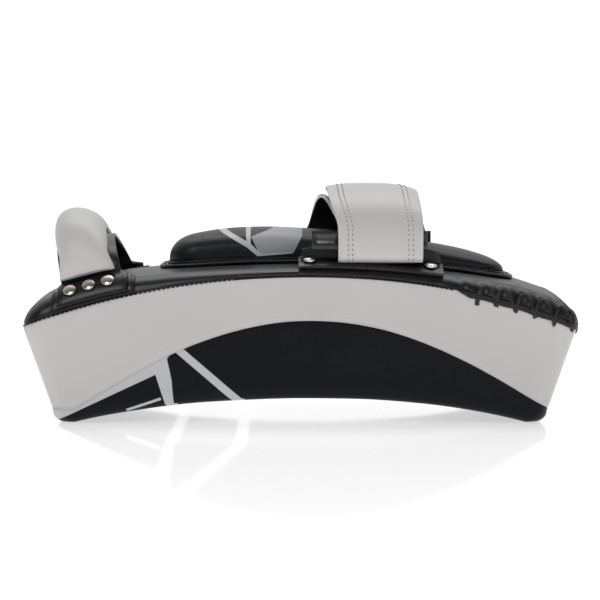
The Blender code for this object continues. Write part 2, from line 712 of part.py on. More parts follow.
def hang_on(hinge_name, place, names):
    """Hangs moving pieces on an empty that stands on their joint's axis."""
    hinge = bpy.data.objects.new(hinge_name, None)
    hinge.empty_display_size = 10 * MM
    hinge.location = place
    PARTS.objects.link(hinge)
    for name in names:
        item = bpy.data.objects[name]
        item.parent = hinge
        item.matrix_parent_inverse = Matrix.Translation(-Vector(place))


def strap_ring():
    """The moulded keeper ring: a flat bar in front, two legs and a rod in the near anchor's fold."""
    bar_y = -(STRAP_HALF_SPAN + RING_BAR_OFFSET + RING_BAR_THICKNESS / 2)
    ring = box("strap_ring", (2 * RING_HALF_WIDTH, RING_BAR_THICKNESS, RING_BAR_HEIGHT),
               (RING_X, bar_y, RING_HINGE_Z - 0.5 * MM), "moulded_ring")
    reach = RING_HINGE_Y - bar_y
    joined = []
    for side in (-1, 1):
        x = RING_X + side * (RING_HALF_WIDTH - RING_LEG_WIDTH / 2)
        joined.append(box("ring_leg", (RING_LEG_WIDTH, reach + RING_LEG_HEIGHT / 2, RING_LEG_HEIGHT),
                          (x, bar_y + reach / 2 + RING_LEG_HEIGHT / 4, RING_HINGE_Z)))
    bpy.ops.mesh.primitive_cylinder_add(
        vertices=16, radius=RING_ROD_RADIUS, depth=2 * RING_HALF_WIDTH - RING_LEG_WIDTH,
        location=(RING_X, RING_HINGE_Y, RING_HINGE_Z), rotation=(0, math.radians(90), 0))
    rod = bpy.context.active_object
    rod.name = "ring_rod"
    move_to(rod, CUTTERS)
    joined.append(rod)
    for piece in joined:
        piece.hide_render = True
        piece.display_type = "WIRE"
        union = ring.modifiers.new("Joined", "BOOLEAN")
        union.object = piece
        union.operation = "UNION"
        union.solver = "EXACT"
    hang_on("ring_hinge", RING_HINGE, ["strap_ring"])


def forearm_strap():
    roll_patch("strap_patch_near", ANCHOR_X, ANCHOR_HALF_WIDTH, -1)
    roll_patch("strap_patch_far", ANCHOR_X, ANCHOR_HALF_WIDTH, 1)
    strap_lining()
    strap_main()
    strap_flap()
    strap_anchor_near()
    strap_anchor_far()
    strap_ring()


# ---------------------------------------------------------------- lacing

def seam_place(distance):
    """A place along the laced part of the seam: its plan point and the outward direction there."""
    straight = HALF_LENGTH - CORNER_RADIUS - LACE_START_X
    corner = CORNER_RADIUS * math.pi / 2
    end = 2 * (HALF_WIDTH - CORNER_RADIUS)
    half = straight + corner + end / 2
    mirrored = distance > half
    if mirrored:
        distance = 2 * half - distance
    if distance < straight:
        point, out = Vector((LACE_START_X + distance, -HALF_WIDTH)), Vector((0, -1))
    elif distance < straight + corner:
        turn = (distance - straight) / CORNER_RADIUS - math.pi / 2
        out = Vector((math.cos(turn), math.sin(turn)))
        point = Vector((HALF_LENGTH - CORNER_RADIUS, -(HALF_WIDTH - CORNER_RADIUS))) + CORNER_RADIUS * out
    else:
        point = Vector((HALF_LENGTH, -(HALF_WIDTH - CORNER_RADIUS) + distance - straight - corner))
        out = Vector((1, 0))
    if mirrored:
        point, out = Vector((point.x, -point.y)), Vector((out.x, -out.y))
    return point, out


def lace_point(distance, level):
    """A point of the lace: level -1 at a tooth on the wall, 0 at the seam, 1 high on the roll."""
    point, out = seam_place(distance)
    lift = LACE_RADIUS + 1.1 * MM
    if level <= 0:
        lean = (HALF_LENGTH - HALF_LENGTH_LOW) / (SEAM_END_Z - STRIKE_EDGE_RADIUS) * abs(out.x)
        inset = -level * LACE_TOOTH * lean
        spot = point + out * (lift - inset)
        return Vector((spot.x, spot.y, seam_z(point.x) + level * LACE_TOOTH))
    turn = math.radians(62) * level
    inset = ROLL_INSET * (1 - math.cos(turn))
    spot = point - out * inset
    rise = (back_z(spot.x, spot.y) - seam_z(spot.x)) * math.sin(turn)
    spot += out * lift * math.cos(turn)
    return Vector((spot.x, spot.y, seam_z(point.x - out.x * inset) + rise + lift * math.sin(turn) + 1.2 * MM * level))


def lacing():
    """One leather lace, whipped over the seam at the end that the filling goes in through."""
    straight = HALF_LENGTH - CORNER_RADIUS - LACE_START_X
    total = 2 * straight + math.pi * CORNER_RADIUS + 2 * (HALF_WIDTH - CORNER_RADIUS)
    pitch = total / LACE_STITCHES
    places = []
    for stitch in range(LACE_STITCHES):
        for step, level in ((0.0, -1.0), (0.12, -0.3), (0.24, 0.4), (0.38, 0.8), (0.5, 1.0), (0.62, 0.8), (0.76, 0.4),
                            (0.88, -0.3)):
            places.append(lace_point((stitch + step) * pitch, level))
    places.append(lace_point(total, -1.0))
    curve = bpy.data.curves.new("lacing", "CURVE")
    curve.dimensions = "3D"
    curve.bevel_depth = LACE_RADIUS
    curve.bevel_resolution = 1
    curve.use_fill_caps = True
    spline = curve.splines.new("POLY")
    spline.points.add(len(places) - 1)
    for spot, place in zip(spline.points, places):
        spot.co = (*place, 1)
    item = bpy.data.objects.new("lacing", curve)
    item.data.materials.append(material("lace"))
    PARTS.objects.link(item)


clear_scene()
PARTS = collection("thai_pad")
CUTTERS = collection("cutters")
strike_face_panel()
side_wall()
back_panel()
foam_filling()
cushion()
handle()
forearm_strap()
rivets()
lacing()
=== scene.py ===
"""Looks of a thai pad: leather skins, stitching, lace, handle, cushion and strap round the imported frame."""
import logging
import math
from dataclasses import dataclass
from enum import Enum
from typing import Callable, Iterable, Sequence

import bmesh
import bpy
import numpy as np
from mathutils import Matrix, Vector, noise
from mathutils.bvhtree import BVHTree


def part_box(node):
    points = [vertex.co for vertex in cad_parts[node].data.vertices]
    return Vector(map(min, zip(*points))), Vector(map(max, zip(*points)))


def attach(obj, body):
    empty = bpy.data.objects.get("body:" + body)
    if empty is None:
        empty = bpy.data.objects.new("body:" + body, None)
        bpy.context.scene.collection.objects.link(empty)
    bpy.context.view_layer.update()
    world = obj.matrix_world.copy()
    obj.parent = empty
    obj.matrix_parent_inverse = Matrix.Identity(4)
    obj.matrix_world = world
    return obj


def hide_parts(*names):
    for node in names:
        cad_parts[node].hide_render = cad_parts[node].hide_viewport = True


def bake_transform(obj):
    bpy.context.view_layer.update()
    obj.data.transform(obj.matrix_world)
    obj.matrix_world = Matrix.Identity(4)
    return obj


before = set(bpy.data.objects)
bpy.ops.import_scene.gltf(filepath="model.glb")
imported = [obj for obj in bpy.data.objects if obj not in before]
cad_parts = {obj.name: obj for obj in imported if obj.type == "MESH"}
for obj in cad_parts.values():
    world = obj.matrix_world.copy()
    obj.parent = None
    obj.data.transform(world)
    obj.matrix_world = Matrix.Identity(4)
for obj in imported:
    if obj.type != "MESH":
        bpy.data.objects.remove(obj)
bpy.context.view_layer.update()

LOG = logging.getLogger("thai_pad")
MM = 0.001
PAD, FLAP, RING = "pad", "flap", "ring"
Row = list[Vector]
HeightOf = Callable[[float], float]
Seam = tuple[Sequence[Vector], Sequence[Vector]]
MaterialParts = tuple[bpy.types.Material, bpy.types.NodeTree, bpy.types.Node]


# ------------------------------------------------------------------ node materials

def linear(hex_colour: str) -> tuple[float, float, float, float]:
    """Turns an sRGB hex colour into the linear one that shaders take.

    Args:
        hex_colour: Six hex digits, such as "b4b2af".

    Returns:
        Red, green, blue and an alpha of 1.
    """
    parts = [int(hex_colour[i:i + 2], 16) / 255 for i in (0, 2, 4)]
    r, g, b = (c / 12.92 if c <= 0.04045 else ((c + 0.055) / 1.055) ** 2.4 for c in parts)
    return r, g, b, 1.0


def add_node(tree: bpy.types.NodeTree, kind: str, inputs: dict | None = None,
             **settings: object) -> bpy.types.Node:
    """Adds one node with its settings and inputs.

    Args:
        tree: The material's node tree.
        kind: The node's class name.
        inputs: Input name or number to a value, or to another node's output socket.
        settings: Attributes of the node.

    Returns:
        The new node.
    """
    node = tree.nodes.new(kind)
    for name, value in settings.items():
        setattr(node, name, value)
    for name, value in (inputs or {}).items():
        if isinstance(value, bpy.types.NodeSocket):
            tree.links.new(value, node.inputs[name])
        else:
            node.inputs[name].default_value = value
    return node


def new_material(name: str, **shader_values: object) -> MaterialParts:
    """Starts a material with its shader's constant values set on the shader's own sockets.

    Args:
        name: The material's name.
        shader_values: Socket names with underscores for spaces, to values.

    Returns:
        The material, its tree and its Principled shader.
    """
    made = bpy.data.materials.new(name)
    made.use_nodes = True
    tree = made.node_tree
    shader = tree.nodes["Principled BSDF"]
    for socket, value in shader_values.items():
        shader.inputs[socket.replace("_", " ")].default_value = value
    return made, tree, shader


class Region(Enum):
    """Which printed design a leather piece carries."""

    PLAIN = "plain"
    STRIKE_FACE = "strike_face"
    CUSHION = "cushion"


@dataclass(frozen=True)
class Stripe:
    """A printed patch: the part of the X-Z plane inside a convex outline, given in mm."""

    corners: tuple[tuple[float, float], ...]

    def mask(self, tree: bpy.types.NodeTree, place: bpy.types.NodeSocket) -> bpy.types.NodeSocket:
        """Builds the mask that is 1 inside the outline.

        Args:
            tree: The node tree to add to.
            place: The point's place, in metres.

        Returns:
            The mask's socket.
        """
        total = None
        pairs = list(zip(self.corners, self.corners[1:] + self.corners[:1]))
        if sum(x0 * z1 - x1 * z0 for (x0, z0), (x1, z1) in pairs) < 0:
            pairs = [(b, a) for a, b in pairs]
        for (x0, z0), (x1, z1) in pairs:
            length = math.hypot(x1 - x0, z1 - z0)
            normal = (-(z1 - z0) / length, 0.0, (x1 - x0) / length)
            level = (normal[0] * x0 + normal[2] * z0) * MM
            side = add_node(tree, "ShaderNodeVectorMath", {0: place, 1: normal}, operation="DOT_PRODUCT")
            inside = add_node(
                tree, "ShaderNodeMapRange",
                {"Value": side.outputs["Value"], "From Min": level - PRINT_EDGE,
                 "From Max": level + PRINT_EDGE})
            if total is None:
                total = inside.outputs[0]
            else:
                total = add_node(tree, "ShaderNodeMath", {0: total, 1: inside.outputs[0]},
                                 operation="MULTIPLY").outputs[0]
        return total


PRINT_EDGE = 0.15 * MM
STRIKE_STRIPES = (
    Stripe(((-190, -5.3), (-104, 34.8), (-94, 48.4), (-94, 60), (-190, 60))),
    Stripe(((-97, 13), (-88.3, 13), (-92.4, 31.5), (-94, 50), (-104, 35))),
    Stripe(((-50, 17), (-41.5, 17), (-84, 53.5), (-92.5, 53.5))),
    Stripe(((-124.6, 8.2), (-99.8, 16.6), (-100.4, 18.4), (-125.2, 10.0))),
    Stripe(((-92, 0), (-84, 0), (-88.3, 14), (-97, 14))),
    Stripe(((-30, 0), (-20, 0), (-41, 17.5), (-50.5, 17.5))),
)
CUSHION_PANEL = Stripe(((-29.5, 119.5), (-4.4, 121.4), (1.5, 133.2), (2.2, 148), (-36.2, 132.5)))
CUSHION_LINES = (
    Stripe(((-62.5, 138.2), (-58, 139.4), (-37.0, 128.0), (-39.5, 125.0))),
    Stripe(((-39.5, 125.0), (-37.0, 128.0), (-28.0, 119.5), (-31.5, 118.5))),
    Stripe(((-40.8, 141), (-36.8, 141), (-36.4, 126.5), (-39.2, 126.5))),
    Stripe(((-31.5, 118.3), (-5.5, 120.4), (-4.6, 121.6), (-31.5, 119.6))),
)


@dataclass(frozen=True)
class Leather:
    """Artificial leather: a moulded polyurethane skin on a knitted backing, with a fine pressed grain.

    It gives the eye an even colour, a soft broad highlight broken by the grain, and faint creases.
    """

    name: str
    colour: str
    worn_colour: str
    roughness: float
    region: Region = Region.PLAIN
    silver: str = "c3c5c8"
    grey: str = "a0a3a7"
    grain_mm: float = 1.3       # the real grain is 0.6 mm, too fine to show, so it is drawn twice as coarse
    grain_depth: float = 0.16
    crease_mm: float = 26.0
    crease_depth: float = 0.35
    specular: float = 0.5
    coat: float = 0.06

    def build(self) -> bpy.types.Material:
        """Builds the material."""
        made, tree, shader = new_material(self.name, Coat_Weight=self.coat, Coat_Roughness=0.3,
                                          Specular_IOR_Level=self.specular)
        place = add_node(tree, "ShaderNodeTexCoord").outputs["Object"]
        tone = add_node(tree, "ShaderNodeTexNoise", {"Vector": place, "Scale": 1 / (55 * MM), "Detail": 3.0})
        colour = add_node(
            tree, "ShaderNodeMix",
            {0: tone.outputs["Fac"], "A": linear(self.colour), "B": linear(self.worn_colour)},
            data_type="RGBA").outputs["Result"]
        colour = self.printed(tree, place, colour)
        tree.links.new(colour, shader.inputs["Base Color"])
        grain = add_node(tree, "ShaderNodeTexVoronoi", {"Vector": place, "Scale": 1 / (self.grain_mm * MM)})
        pores = add_node(tree, "ShaderNodeTexNoise",
                         {"Vector": place, "Scale": 1 / (3.5 * MM), "Detail": 4.0, "Roughness": 0.65})
        creases = add_node(tree, "ShaderNodeTexNoise",
                           {"Vector": place, "Scale": 1 / (self.crease_mm * MM), "Detail": 2.0,
                            "Distortion": 0.6})
        rough = add_node(tree, "ShaderNodeMapRange",
                         {"Value": pores.outputs["Fac"], "To Min": self.roughness - 0.06,
                          "To Max": self.roughness + 0.08})
        tree.links.new(rough.outputs[0], shader.inputs["Roughness"])
        low = add_node(tree, "ShaderNodeBump",
                       {"Height": creases.outputs["Fac"], "Strength": self.crease_depth,
                        "Distance": 1.2 * MM})
        mid = add_node(tree, "ShaderNodeBump", {"Height": pores.outputs["Fac"], "Strength": 0.22,
                                                "Distance": 0.25 * MM, "Normal": low.outputs[0]})
        fine = add_node(tree, "ShaderNodeBump",
                        {"Height": grain.outputs["Distance"], "Strength": self.grain_depth,
                         "Distance": 0.3 * MM, "Normal": mid.outputs[0]})
        tree.links.new(fine.outputs[0], shader.inputs["Normal"])
        return made

    def printed(self, tree: bpy.types.NodeTree, place: bpy.types.NodeSocket,
                base: bpy.types.NodeSocket) -> bpy.types.NodeSocket:
        """Lays the plain printed stripes of this piece's region over its colour.

        Args:
            tree: The node tree.
            place: Object coordinates.
            base: The leather's own colour.

        Returns:
            The colour with the print on it.
        """
        prints: list[tuple[Sequence[Stripe], str]] = []
        if self.region is Region.STRIKE_FACE:
            prints = [(STRIKE_STRIPES, self.silver)]
        elif self.region is Region.CUSHION:
            prints = [((CUSHION_PANEL,), self.grey), (CUSHION_LINES, self.silver)]
        colour = base
        for stripes, ink in prints:
            for stripe in stripes:
                mask = stripe.mask(tree, place)
                colour = add_node(tree, "ShaderNodeMix", {0: mask, "A": colour, "B": linear(ink)},
                                  data_type="RGBA").outputs["Result"]
        return colour


@dataclass(frozen=True)
class Plain:
    """A finish of two close colours, a mottle and a bump: thread, lace, tape, foam, nylon or plated steel."""

    name: str
    colour: str
    second_colour: str
    roughness: float
    metallic: float = 0.0
    mottle_mm: float = 8.0
    bump_mm: float = 1.0
    bump: float = 0.1
    coat: float = 0.0
    sheen: float = 0.0

    def build(self) -> bpy.types.Material:
        """Builds the material."""
        values: dict[str, object] = {
            "Metallic": self.metallic, "Coat_Weight": self.coat, "Coat_Roughness": 0.12,
            "Sheen_Weight": self.sheen, "Sheen_Roughness": 0.5}
        made, tree, shader = new_material(self.name, **values)
        place = add_node(tree, "ShaderNodeTexCoord").outputs["Object"]
        mottle = add_node(tree, "ShaderNodeTexNoise",
                          {"Vector": place, "Scale": 1 / (self.mottle_mm * MM), "Detail": 3.0})
        colour = add_node(
            tree, "ShaderNodeMix",
            {0: mottle.outputs["Fac"], "A": linear(self.colour), "B": linear(self.second_colour)},
            data_type="RGBA")
        tree.links.new(colour.outputs["Result"], shader.inputs["Base Color"])
        grit = add_node(tree, "ShaderNodeTexNoise",
                        {"Vector": place, "Scale": 1 / (self.bump_mm * MM), "Detail": 5.0, "Roughness": 0.6})
        rough = add_node(tree, "ShaderNodeMapRange",
                         {"Value": grit.outputs["Fac"], "To Min": max(self.roughness - 0.07, 0.02),
                          "To Max": self.roughness + 0.07})
        tree.links.new(rough.outputs[0], shader.inputs["Roughness"])
        bump = add_node(tree, "ShaderNodeBump",
                        {"Height": grit.outputs["Fac"], "Strength": self.bump, "Distance": 0.3 * MM})
        tree.links.new(bump.outputs[0], shader.inputs["Normal"])
        return made


class Finishes:
    """Every finish of the pad, built once."""

    def __init__(self) -> None:
        """Builds the materials."""
        white, black = ("cbc7c7", "c5c1c0"), ("0e1013", "14161a")
        # White polyurethane leather: an even warm white with a soft, broad highlight.
        self.white_leather = Leather("white_pu_leather", *white, roughness=0.46, grain_depth=0.06,
                                     crease_depth=0.15).build()
        # Black polyurethane leather: a clear bright line along each roll and a dark flat elsewhere.
        self.black_leather = Leather("black_pu_leather", *black, roughness=0.36, specular=0.34).build()
        # The struck face's black leather: nearly matt, so its silver print stands out.
        self.strike_leather = Leather("printed_strike_face_leather", "090b0e", "0e1013", roughness=0.42,
                                      specular=0.12, region=Region.STRIKE_FACE).build()
        # The cushion's black leather: softer than the body's, with a grey panel printed on it.
        self.cushion_leather = Leather("printed_cushion_leather", *black, roughness=0.44, specular=0.22,
                                       region=Region.CUSHION).build()
        # Vinyl-coated lining: wet-looking, with tight creases that catch the light.
        self.glossy_lining = Leather("glossy_vinyl_lining", "1a1b1f", "232428", roughness=0.24, crease_mm=9,
                                     crease_depth=0.8, coat=0.3).build()
        # Bonded nylon thread: white thread coloured grey as a painted shade for its recessed stitch holes, in
        # fine dashes on the white leather.
        self.white_thread_painted_shade = Plain("white_nylon_thread_painted_hole_shade", "7b7873", "94918c", 0.6, bump_mm=0.4,
                                  bump=0.5).build()
        # The same thread dyed black: low dashes that show by their shine.
        self.black_thread = Plain("bonded_nylon_thread_black", "070708", "0d0d0e", 0.55, bump_mm=0.4,
                                  bump=0.5).build()
        # Waxed flat lace: a dull black, a little paler where the wax has rubbed.
        self.lace = Plain("waxed_flat_lace", "0b0b0c", "131415", 0.5, bump_mm=0.7, bump=0.45).build()
        # Woven hook and loop tape: a rough black that takes almost no highlight.
        self.hook_tape = Plain("woven_hook_tape", "0a0a0b", "121213", 0.95, bump_mm=0.9, bump=1.0,
                               sheen=0.3).build()
        # Closed-cell EVA foam: dark grey and dry, with small cells.
        self.eva_foam = Plain("closed_cell_eva_foam", "33363b", "3c4046", 0.9, bump_mm=0.8, bump=0.6).build()
        # Open-cell foam: pale yellow with coarser cells.
        self.soft_foam = Plain("open_cell_foam", "c9bf9c", "d8cfae", 0.95, bump_mm=1.2, bump=0.8).build()
        # Nickel-plated steel: warm, bright caps with a small sharp highlight.
        self.nickel = Plain("nickel_plated_steel", "d6cfc4", "c8c0b4", 0.24, metallic=1.0, bump_mm=2.0,
                            bump=0.05).build()
        # Moulded nylon: a hard, smooth black with a clear edge of light.
        self.moulded_nylon = Plain("moulded_nylon", "141619", "1a1c1f", 0.26, mottle_mm=14, bump_mm=1.5,
                                   bump=0.08, coat=0.3).build()


# ------------------------------------------------------------------ mesh helpers

def dress(piece: bpy.types.Object, finish: bpy.types.Material, body: str, slot: str,
          replaced: Sequence[str] = ()) -> bpy.types.Object:
    """Gives a piece its finish, its body and the frame nodes it stands for.

    Args:
        piece: The new object.
        finish: Its material.
        body: The body it moves with.
        slot: The material slot's name; not used.
        replaced: Frame nodes that it replaces.

    Returns:
        The same object.
    """
    piece.data.materials.clear()
    piece.data.materials.append(finish)
    if body:
        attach(piece, body)
    if replaced:
        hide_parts(*replaced)
    LOG.info("%s: %d faces", piece.name, len(piece.data.polygons))
    return piece


def deselect() -> None:
    """Leaves nothing selected and nothing active."""
    for item in bpy.context.selected_objects:
        item.select_set(False)
    bpy.context.view_layer.objects.active = None


def make_active(piece: bpy.types.Object) -> None:
    """Selects one object alone."""
    deselect()
    piece.select_set(True)
    bpy.context.view_layer.objects.active = piece


def settle(piece: bpy.types.Object, *modifiers: tuple[str, dict]) -> bpy.types.Object:
    """Adds modifiers one after another and applies each.

    Args:
        piece: The object.
        modifiers: Pairs of modifier type and settings.

    Returns:
        The same object.
    """
    make_active(piece)
    for kind, settings in modifiers:
        added = piece.modifiers.new(kind.title(), kind)
        for name, value in settings.items():
            setattr(added, name, value)
        bpy.ops.object.modifier_apply(modifier=added.name)
    deselect()
    return piece


def place_in_mesh(piece: bpy.types.Object) -> bpy.types.Object:
    """Moves an object's place and turn into its mesh."""
    make_active(piece)
    bpy.ops.object.transform_apply(location=True, rotation=True, scale=True)
    deselect()
    return piece


def surface(name: str, rows: Sequence[Row], closed: bool) -> bpy.types.Object:
    """Lays a quad surface over rows of points.

    Args:
        name: The object's name.
        rows: Rows of the same length. A row may fold up on itself.
        closed: Whether each row is a ring.

    Returns:
        The new object, open where its rows end.
    """
    work = bmesh.new()
    grid = [[work.verts.new(p) for p in row] for row in rows]
    count = len(rows[0])
    for low, high in zip(grid, grid[1:]):
        for i in range(count if closed else count - 1):
            j = (i + 1) % count
            work.faces.new((low[i], low[j], high[j], high[i]))
    bmesh.ops.remove_doubles(work, verts=work.verts, dist=1e-6)
    if closed:
        bmesh.ops.recalc_face_normals(work, faces=work.faces)
    mesh = bpy.data.meshes.new(name)
    work.to_mesh(mesh)
    work.free()
    mesh.shade_smooth()
    piece = bpy.data.objects.new(name, mesh)
    bpy.context.scene.collection.objects.link(piece)
    return piece


def leather_sheet(name: str, rows: Sequence[Row], thickness: float, closed: bool = False, grow: float = 1.0,
                  soften: int = 0) -> bpy.types.Object:
    """A surface with a thickness and softly rounded cut edges.

    Args:
        name: The object's name.
        rows: Points of its base face.
        thickness: How thick the leather is.
        closed: Whether each row is a ring.
        grow: 1 to grow along the normals, -1 against them.
        soften: Levels of subdivision.

    Returns:
        The finished object.
    """
    piece = surface(name, rows, closed)
    steps = [("SOLIDIFY", {"thickness": thickness, "offset": grow, "use_even_offset": True})]
    steps.append(("BEVEL", {"width": min(0.5 * MM, thickness * 0.35), "segments": 2, "limit_method": "ANGLE",
                            "angle_limit": math.radians(50)}))
    if soften:
        steps.append(("SUBSURF", {"levels": soften, "render_levels": soften}))
    settle(piece, *steps)
    piece.data.shade_smooth()
    return piece


def spread(start: float, end: float, count: int) -> list[float]:
    """Evenly spaced values with both ends."""
    return [start + (end - start) * i / count for i in range(count + 1)]


def stitch_shape(length: float, radius: float) -> tuple[np.ndarray, np.ndarray]:
    """Models one stitch: a short thread that dives into the leather at both ends.

    Args:
        length: The visible length.
        radius: The thread's radius.

    Returns:
        Its points, lying along X, and its faces as triangles.
    """
    bpy.ops.mesh.primitive_cylinder_add(vertices=6, radius=radius, depth=length * 0.55,
                                        rotation=(0, math.radians(90), 0))
    made = place_in_mesh(bpy.context.active_object)
    work = bmesh.new()
    work.from_mesh(made.data)
    ends = [f for f in work.faces if len(f.verts) == 6]
    for face in ends:
        out = face.normal.copy()
        bmesh.ops.inset_region(work, faces=[face], thickness=radius * 0.35)
        for corner in face.verts:
            corner.co += out * length * 0.22 - Vector((0, 0, radius * 0.9))
    bmesh.ops.triangulate(work, faces=work.faces)
    work.verts.index_update()
    points = np.array([v.co[:] for v in work.verts])
    faces = np.array([[v.index for v in f.verts] for f in work.faces])
    work.free()
    bpy.data.objects.remove(made, do_unlink=True)
    return points, faces


def along_path(path: Sequence[Vector], normals: Sequence[Vector],
               pitch: float) -> Iterable[tuple[Vector, Vector, Vector]]:
    """Walks a path at even steps.

    Args:
        path: Points of the path.
        normals: The leather's normal at each.
        pitch: The step.

    Yields:
        Place, direction and normal at each step.
    """
    ahead = pitch * 0.5
    for a, b, normal in zip(path, path[1:], normals):
        length = (b - a).length
        while length > 1e-9 and ahead <= length:
            yield a + (b - a) * (ahead / length), (b - a) / length, normal
            ahead += pitch
        ahead -= length


def stitching(name: str, seams: Sequence[Seam], pitch: float, length: float,
              radius: float, sink: float = 0.0) -> bpy.types.Object:
    """Rows of identical stitches along seams, each with its own copy of the shape.

    Args:
        name: The object's name.
        seams: Pairs of path points and normals.
        pitch: From one stitch to the next.
        length: A stitch's visible length.
        radius: The thread's radius.
        sink: How deep the thread lies in the leather.

    Returns:
        One object that holds all the stitches.
    """
    points, faces = stitch_shape(length, radius)
    all_points, all_faces = [], []
    for path, normals in seams:
        for place, run, normal in along_path(path, normals, pitch):
            side = normal.cross(run).normalized()
            up = run.cross(side)
            turn = np.array([run[:], side[:], up[:]])
            all_faces.append(faces + len(all_points) * len(points))
            all_points.append(points @ turn + np.array((place + up * (radius * 0.5 - sink))[:]))
    mesh = bpy.data.meshes.new(name)
    mesh.from_pydata(np.concatenate(all_points).tolist(), [], np.concatenate(all_faces).tolist())
    mesh.shade_smooth()
    piece = bpy.data.objects.new(name, mesh)
    bpy.context.scene.collection.objects.link(piece)
    return piece


# ------------------------------------------------------------------ the pad's form

@dataclass
class PadForm:
    """The padded body's outer form, in the frame that the CAD nodes share."""

    half_length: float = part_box("side_wall")[1][0]
    half_length_low: float = 179 * MM
    half_width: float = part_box("side_wall")[1][1]
    corner: float = 14 * MM
    crest_x: float = 8 * MM
    seam_crest_z: float = 106 * MM
    seam_end_z: float = 70 * MM
    underside_rise: float = 17 * MM
    underside_half: float = 163 * MM
    edge_radius: float = 8 * MM
    scallop_low_z: float = 10.5 * MM
    scallop_crest_z: float = 74 * MM
    scallop_half: float = 172 * MM
    roll_inset: float = 16 * MM
    roll_crest: float = 5.5 * MM
    roll_gain: float = 8.5 * MM
    roll_gain_half: float = 150 * MM
    crown: float = 3 * MM
    lace_start_x: float = 113 * MM
    lace_stitches: int = 26

    def seam_z(self, x: float) -> float:
        """Height of the seam under the back panel."""
        reach = self.half_length + (-self.crest_x if x > self.crest_x else self.crest_x)
        share = min(abs(x - self.crest_x) / reach, 1.0)
        return self.seam_crest_z - (self.seam_crest_z - self.seam_end_z) * share ** 2.1

    def underside_z(self, x: float) -> float:
        """Height of the hollow strike face."""
        reach = self.underside_half + (-self.crest_x if x > self.crest_x else self.crest_x)
        return self.underside_rise * (1 - min(abs(x - self.crest_x) / reach, 1.0) ** 2.35)

    def scallop_z(self, x: float) -> float:
        """Height of the curved seam on the side wall."""
        share = max(1 - ((x - self.crest_x) / self.scallop_half) ** 2, 0.0)
        return self.scallop_low_z + (self.scallop_crest_z - self.scallop_low_z) * share ** 1.15

    def roll_height(self, x: float) -> float:
        """Height of the rolled edge over the seam."""
        return self.roll_crest + self.roll_gain * min(abs(x - self.crest_x) / self.roll_gain_half, 1.0) ** 2

    def back_z(self, x: float, y: float) -> float:
        """Height of the back panel inside its roll."""
        across = y / (self.half_width - self.roll_inset)
        return self.seam_z(x) + self.roll_height(x) + self.crown * max(1 - across ** 2, 0.0)

    def half_length_at(self, z: float) -> float:
        """The leaning end walls' half length at a height."""
        share = (z - self.edge_radius) / (self.seam_end_z - 3 * MM - self.edge_radius)
        return self.half_length_low + (self.half_length - self.half_length_low) * min(max(share, 0.0), 1.0)

    def roll_point(self, x: float, side: int, angle: float, offset: float = 0.0) -> Vector:
        """A point on a long edge's roll.

        Args:
            x: Place along the pad.
            side: -1 near, 1 far.
            angle: 0 at the seam, 90 degrees at the crest.
            offset: How far over the leather.

        Returns:
            The point.
        """
        turn = math.radians(angle)
        across = self.half_width - self.roll_inset * (1 - math.cos(turn)) + offset * math.cos(turn)
        return Vector((x, side * across, self.seam_z(x) + (self.roll_height(x) + offset) * math.sin(turn)))

    def roll_normal(self, x: float, side: int, angle: float) -> Vector:
        """The roll's outward normal."""
        along = self.roll_point(x + 4 * MM, side, angle) - self.roll_point(x - 4 * MM, side, angle)
        across = self.roll_point(x, side, angle + 8) - self.roll_point(x, side, angle - 8)
        return (along.cross(across) * -side).normalized()

    def outline(self, half_x: float, half_y: float, radius: float, long: int = 130, end: int = 64,
                corner: int = 9) -> list[Vector]:
        """Points round a rounded rectangle, counted the same way for every size."""
        points: list[Vector] = []
        flat_x, flat_y = half_x - radius, half_y - radius
        sides = ((flat_x, -flat_y, 0, end, (0, 1)), (flat_x, flat_y, 90, long, (-1, 0)),
                 (-flat_x, flat_y, 180, end, (0, -1)), (-flat_x, -flat_y, 270, long, (1, 0)))
        for x, y, angle, count, (step_x, step_y) in sides:
            turn = math.radians(angle)
            edge = Vector((x + radius * math.cos(turn), y + radius * math.sin(turn)))
            run = Vector((step_x * 2 * flat_x, step_y * 2 * flat_y))
            points += [edge + run * i / count for i in range(count)]
            centre = edge + run - radius * Vector((math.cos(turn), math.sin(turn)))
            for i in range(corner):
                sweep = turn + math.radians(90) * i / corner
                points.append(centre + radius * Vector((math.cos(sweep), math.sin(sweep))))
        return points

    def wall_ring(self, height_of: HeightOf, inset: float = 0.0) -> Row:
        """A ring round the wall, its height a function of X."""
        ring: Row = []
        for point in self.outline(self.half_length - inset, self.half_width - inset, self.corner - inset / 2):
            x = point.x
            for _ in range(4):
                x = point.x * self.half_length_at(height_of(x)) / self.half_length
            ring.append(Vector((x, point.y, height_of(x))))
        return ring

    def plan_ring(self, half_x: float, half_y: float, radius: float,
                  height_of: Callable[[float, float], float],
                  share: float = 1.0) -> Row:
        """A ring over the back or under the strike face, drawn in towards the middle line by share."""
        half_spine = max(half_x - half_y, 0.0) + 30 * MM
        ring: Row = []
        for p in self.outline(half_x, half_y, radius):
            spine = min(max(p.x, -half_spine), half_spine)
            x, y = spine + (p.x - spine) * share, p.y * share
            ring.append(Vector((x, y, height_of(x, y))))
        return ring

    def lace_length(self) -> float:
        """Length of the laced seam, from the near side round the end to the far side."""
        straight = self.half_length - self.corner - self.lace_start_x
        return 2 * straight + math.pi * self.corner + 2 * (self.half_width - self.corner)

